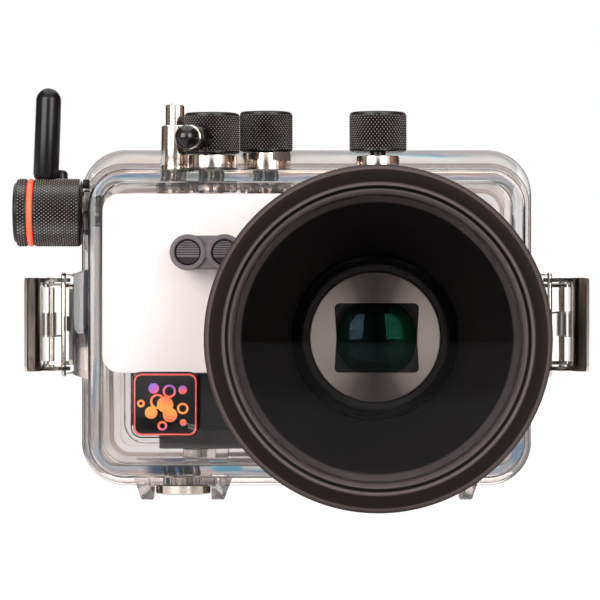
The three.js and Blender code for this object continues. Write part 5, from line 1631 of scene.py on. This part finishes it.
@dataclass
class Latches:
    """The two polished draw latches. The right one is the left one turned by half a turn about Y."""

    half: float = 15.2
    sheet: float = 1.3
    pivot: Point = (-106.6, -20.0)
    link: Point = (-102.2, -26.0)
    bail_r: float = 0.8
    face_x: float = -108.5

    def build(self) -> None:
        """Models the left latch, copies it to the right and fits both."""
        middle = place(CASE_MIDDLE, 0, LATCH_Z)
        turn = Matrix.Translation(middle) @ Matrix.Rotation(math.pi, 4, "Y") @ Matrix.Translation(-middle)
        makers = [("latch_base", self.base, POLISHED_STEEL, "case"),
                  ("latch_pin", self.pin, POLISHED_STEEL, "case"),
                  ("latch_lever", self.lever, POLISHED_STEEL, "latch"),
                  ("latch_spring", self.spring, SPRING_STEEL, "latch"),
                  ("latch_bail", self.bail, POLISHED_STEEL, "bail"), ("", self.stop, NITRILE, "case")]
        for node_name, make, finish, body in makers:
            left = make()
            right = twin(left, turn)
            for side, piece in (("left", left), ("right", right)):
                rides = body if body == "case" else f"{body}_{side}"
                nodes = [f"{node_name}_{side}"] if node_name else []
                fit(piece, f"{node_name or 'latch_stop'}_{side}_piece", finish, rides, *nodes)

    def ear(self, points: Sequence[Point], z: float) -> Obj:
        """A flat ear of sheet whose lower face is at a height from the latch's middle."""
        return outline("ear", z_points(points, LATCH_Z + z), Vector((0, 0, self.sheet * MM)))

    def hole(self, at: Point, r: float) -> Obj:
        """A cutter right through the latch."""
        low, high = LATCH_Z - 20, LATCH_Z + 20
        return lathe("hole", [(0, low), (r, low), (r, high), (0, high)], Axis.Z, place(*at, 0), 40)

    def base(self) -> Obj:
        """The base: a plate on the side block and two ears that carry the pin."""
        inner = CASE_XS[0] - 6.1
        half = self.half - self.sheet - 0.4
        points = [(inner - 0.2, -24), (-104.4, -21.9), *arc(*self.pivot, 1.75, 250, 80, 13),
                  (inner - 2.4, -14.6), (inner - 0.2, -13)]
        plate = slab("plate", (inner - self.sheet, inner), (-30, -11), (LATCH_Z - half, LATCH_Z + half), 2.0,
                     axis=Axis.X)
        for z in (half - self.sheet, -half):
            join(plate, self.ear(points, z))
        cut(plate, self.hole(self.pivot, 1.3))
        head = [(0, inner - 1.2), (2.0, inner - 1.2), (1.8, inner - 1.75), (0, inner - 1.95)]
        for z in (-7, 7):
            join(plate, lathe("head", head, Axis.X, place(0, -18, LATCH_Z + z), 40))
        soften(plate, 0.18, 2, 40)
        smooth(plate)
        return plate

    def stop(self) -> Obj:
        """A small rubber stop on the front edge of the base."""
        return slab("stop", (-100.9, -99.6), (-30.6, -29.0), (1.8, 6.7), 0.4, 0.2, axis=Axis.Z)

    def pin(self) -> Obj:
        """The pivot pin with its two domed heads."""
        head, end = self.half + 0.15, self.half + 0.5
        side = [(1, head), (1.7, head), (1.65, head + 0.12), (1.2, head + 0.28), (0, end)]
        profile = [(r, LATCH_Z - h) for r, h in reversed(side)] + [(r, LATCH_Z + h) for r, h in side]
        return lathe("pin", profile, Axis.Z, place(*self.pivot, 0), 48)

    def lever(self) -> Obj:
        """The lever: one pressed sheet, a finger plate with a curled tab and two ears on the pin."""
        middle = self.face_x - self.sheet / 2
        line = [(middle, -20.4), (middle, -24), (middle, -38.6), (middle - 0.25, -40.2),
                (middle - 0.9, -41.5),
                (middle - 1.9, -42.7), (middle - 2.9, -43.6), (middle - 3.5, -44.4), (-113.15, -44.9)]
        plate = self.strip(line)
        edge = self.face_x - 1.0
        points = [(edge, -20.4), (-108.9, -18.9), (-108.2, -18.0), (-107.4, -17.4), (-106.4, -17.2),
                  (-105.2, -17.5), (-104.2, -18.4), (-100.6, -23.6), (-100, -25), (-99.9, -26.4),
                  (-100.3, -27.7), (-101.2, -28.5), (-104.6, -30.3), (-108.0, -32.1), (-108.8, -33.2),
                  (edge, -35.0)]
        low = LATCH_Z - self.half
        body = outline("ears", z_points(points, low), Vector((0, 0, 2 * self.half * MM)))
        inner = self.half - self.sheet
        cavity = slab("cavity", (self.face_x, self.face_x + 20), (-60, 5),
                      (LATCH_Z - inner, LATCH_Z + inner), 1.2)
        cut(body, cavity)
        heel = block("heel", place(self.face_x - 4, -20.4, LATCH_Z - inner),
                     place(self.face_x + 2, 5, LATCH_Z + inner))
        cut(body, heel)
        join(plate, body)
        cut(plate, self.hole(self.pivot, 1.1), self.hole(self.link, 0.95))
        soften(plate, 0.42, 4, 40)
        smooth(plate)
        return plate

    def strip(self, line: Sequence[Point]) -> Obj:
        """Sheet bent along a line seen from above, as high as the latch, with its far corners rounded."""
        sides = []
        for sign in (1, -1):
            side = []
            for i, (x, y) in enumerate(line):
                before, after = line[max(i - 1, 0)], line[min(i + 1, len(line) - 1)]
                along = Vector((after[0] - before[0], after[1] - before[1])).normalized()
                side.append((x - sign * along.y * self.sheet / 2, y + sign * along.x * self.sheet / 2))
            sides.append(side if sign > 0 else side[::-1])
        low = LATCH_Z - self.half
        plate = outline("plate", z_points([*sides[0], *sides[1]], low), Vector((0, 0, 2 * self.half * MM)))
        far = place(*line[-1], LATCH_Z)

        def far_corner(edge: bmesh.types.BMEdge) -> bool:
            middle = (edge.verts[0].co + edge.verts[1].co) / 2
            level = abs(edge.verts[0].co.z - edge.verts[1].co.z) < MERGE
            return level and (middle.xy - far.xy).length < 0.2 * MM and edge.calc_length() < 1.6 * MM

        with editing(plate):
            pick(plate, Pick.EDGE, far_corner)
            bpy.ops.mesh.bevel(offset=1.6 * MM, segments=6, affect="EDGES")
        return plate

    def spring(self) -> Obj:
        """The torsion spring: twelve close turns and a leg at its lower end."""
        at = place(*self.pivot, LATCH_Z)
        coil = helix(at, 1.5, -4.0, 4.0, 12, 200)
        leg = [place(-102.0, -25.0, LATCH_Z - 3.7), place(-104.6, -22.4, LATCH_Z - 3.9)]
        return wire("spring", [*leg, *coil], 0.3)

    def bail(self) -> Obj:
        """The wire bail: a loop through both ears of the lever and round behind the lid's ledge."""
        arm = self.half + 0.6 + self.bail_r
        bend = (self.link[0], 3.2)
        bar = (-99.7, 6.4)
        corners = [place(*xy, LATCH_Z + z) for xy, z in (
            (self.link, 0), (self.link, arm), (bend, arm), (bar, arm), (bar, -arm), (bend, -arm),
            (self.link, -arm), (self.link, -0.5))]
        return wire("bail", rounded_route(corners, 1.5, 8), self.bail_r, loop=True)


@dataclass
class TrayInserts:
    """The two metal inserts for a tray under the case."""

    def build(self) -> None:
        """Models and fits the inserts."""
        profile = [(0, -44.2), (3.2, -44.2), (3.2, -51.9), (3.6, -52.3), (8.7, -52.3), (9.1, -51.9),
                   (9.1, -49.2), (8.8, -48.9), (6, -48.9), (6, -42.2), (0, -42.2)]
        for side, x in zip(("left", "right"), INSERT_XS):
            insert = lathe("insert", profile, Axis.Z, place(x, INSERT_Y, 0), 96)
            fit(insert, f"turned_tray_insert_{side}", TURNED_NICKEL, "case", f"tray_insert_{side}")


# The stage


@dataclass
class Studio:
    """Floor, world, lamps and camera."""

    distance: float = 1100.0
    eye: Point = (-24.2, 12.0)
    scale: float = 2.96              # pixels to a millimetre at the joint of case and lid
    pixels: float = 600.0
    sensor: float = 36.0
    seen_share: float = 0.88         # how white the floor is to the camera
    mirrored_share: float = 0.85     # how much of the floor's sheen metal and glass mirror
    aim_height: float = 0.066        # metres above the floor that the lamps look at

    def build(self) -> None:
        """Sets up the stage."""
        self.camera()
        self.floor()
        self.world()
        self.lamps()
        scene = bpy.context.scene
        scene.view_settings.view_transform = "Standard"

    def camera(self) -> None:
        """Puts the camera at the photograph's viewing angle, level and far off."""
        data = bpy.data.cameras.new("photo_camera")
        data.sensor_width = self.sensor
        data.lens = self.scale * self.distance / self.pixels * self.sensor
        data.clip_end = 20.0
        obj = bpy.data.objects.new("photo_camera", data)
        obj.location = place(self.eye[0], -self.distance, self.eye[1])
        obj.rotation_euler = (math.radians(90), 0, 0)
        bpy.context.scene.collection.objects.link(obj)
        bpy.context.scene.camera = obj

    def floor(self) -> None:
        """A pale floor that shows white, with only the soft shadow of the object."""
        bpy.ops.object.select_all(action="DESELECT")
        bpy.ops.mesh.primitive_plane_add(size=8)
        floor = bpy.context.object
        floor.name = "floor"
        made = bpy.data.materials.new("pale_studio_floor")
        made.use_nodes = True
        tree = made.node_tree
        tree.nodes.clear()
        path = node(tree, "LightPath").outputs
        matt = node(tree, "BsdfDiffuse", {"Color": "#efefef"}).outputs["BSDF"]
        white = node(tree, "Emission", {"Strength": 1.12}).outputs["Emission"]
        seen = maths(tree, "MULTIPLY", path["Is Camera Ray"], self.seen_share)
        mirrored = maths(tree, "MAXIMUM", path["Is Glossy Ray"], path["Is Transmission Ray"])
        share = maths(tree, "MULTIPLY", mirrored, self.mirrored_share)
        ground = node(tree, "TexCoord").outputs["Object"]
        ahead = node(tree, "SeparateXYZ", {"Vector": ground}).outputs["Y"]
        tones = ramp(tree, spread(tree, ahead, -0.3, -0.1), (0.0, "#1c1615"), (1.0, "#f4f2f0"))
        sheen = node(tree, "Emission", {"Color": tones}).outputs["Emission"]
        mixed = layer(tree, share, layer(tree, seen, matt, white), sheen)
        node(tree, "OutputMaterial", {"Surface": mixed})
        floor.data.materials.append(made)

    def world(self) -> None:
        """White behind the object, and a plain studio round it for what metal and glass mirror."""
        world = bpy.data.worlds.new("studio")
        bpy.context.scene.world = world
        world.use_nodes = True
        tree = world.node_tree
        tree.nodes.clear()
        path = node(tree, "LightPath").outputs
        heading = node(tree, "TexCoord").outputs["Generated"]
        parts = node(tree, "SeparateXYZ", {"Vector": heading}).outputs
        ahead = spread(tree, parts["Y"], -1.0, 1.0)
        front = [(0.0, "#1c1615"), (0.0035, "#1c1615"), (0.0075, "#ffffff")]
        behind = [(0.84, "#1f1a18"), (0.9, "#ffffff")]
        left = ramp(tree, ahead, *front, (0.25, "#ffffff"), (0.27, "#4a423c"), (0.33, "#544b44"),
                    (0.38, "#b5ab96"), (0.6, "#8f8672"), (0.66, "#2a2422"), *behind)
        right = ramp(tree, ahead, *front, (0.25, "#ffffff"), (0.289, "#7d5e50"), (0.4, "#b5937f"),
                     (0.5, "#6a4f44"), (0.62, "#86695c"), (0.68, "#2a2422"), *behind)
        studio = blend(tree, spread(tree, parts["X"], -0.1, 0.1), left, right)
        clear = ramp(tree, ahead, (0.0, "#1c1615"), (0.0035, "#1c1615"), (0.0075, "#a0a0a0"),
                     (0.35, "#2c282b"), (0.9, "#2c282b"), (0.945, "#8e8887"), (0.975, "#f0ecea"),
                     (0.99, "#ffffff"))
        mirrored, through, seen, fill = [
            node(tree, "Background", {"Color": colour, "Strength": strength}).outputs["Background"]
            for colour, strength in ((studio, 1.0), (clear, 1.0), ("#ffffff", 1.0), ("#fbfaff", 1.05))]
        surface = layer(tree, path["Is Glossy Ray"], fill, mirrored)
        surface = layer(tree, path["Is Transmission Ray"], surface, through)
        surface = layer(tree, path["Is Camera Ray"], surface, seen)
        node(tree, "OutputWorld", {"Surface": surface})

    def lamps(self) -> None:
        """Two upright softboxes in front, left and right, and a wide soft lamp above."""
        self.softbox("softbox_left", (-0.7, -0.95, 0.34), (0.85, 0.85), 12.5)
        self.softbox("softbox_right", (0.6, -1.04, 0.34), (0.6, 0.85), 9.0)
        self.softbox("overhead", (0.0, 0.1, 1.2), (1.4, 1.4), 11.0)
        self.softbox("back_fill", (0.3, 1.2, 0.6), (0.9, 0.9), 5.0)

    def softbox(self, name: str, at: tuple[float, float, float], size: Point, watts: float) -> None:
        """Adds an area lamp that looks at the object's middle.

        Args:
            name: Name of the lamp.
            at: Its place in metres.
            size: Its width and height in metres.
            watts: Its power.
        """
        data = bpy.data.lights.new(name, "AREA")
        data.shape = "RECTANGLE"
        data.size, data.size_y = size
        data.energy = watts
        lamp = bpy.data.objects.new(name, data)
        lamp.location = Vector(at)
        aim = Vector((0, 0, self.aim_height)) - lamp.location
        lamp.rotation_euler = aim.to_track_quat("-Z", "Y").to_euler()
        bpy.context.scene.collection.objects.link(lamp)


def dress_left_over_nodes() -> None:
    """Gives each CAD node that still shows the finish of its slot."""
    finishes = {finish.slot: finish for finish in (
        SHELL_CLEAR, PORT_BLACK, PORT_GLASS, NITRILE, SATIN_ACETAL, GREY_ABS, WHITE_ACRYLIC, BADGE_LACQUER,
        POLISHED_STEEL, RED_SILICONE, CAMERA_PAINT, COATED_GLASS)}
    slots = {name: entry["slot"] for entry in frame["record"]["materials"] for name in entry.get("nodes", [])}
    for name, obj in frame["nodes"].items():
        if not obj.hide_render:
            finish = finishes.get(slots.get(name, ""), POLISHED_STEEL)
            obj.data.materials.clear()
            obj.data.materials.append(finish.material())
            LOG.info("%s: CAD node dressed as %s", name, finish.name)


def main() -> None:
    """Builds every sub-assembly in order."""
    logging.basicConfig(level=logging.INFO, format="%(message)s")
    Studio().build()
    for assembly in (Port(), Camera(), FrontFittings(), Controls(), Shutter(), Latches(), TrayInserts(),
                     RearLid(), ClearCase()):
        LOG.info("building %s", type(assembly).__name__)
        assembly.build()
    dress_left_over_nodes()


if __name__ == "__main__":
    main()
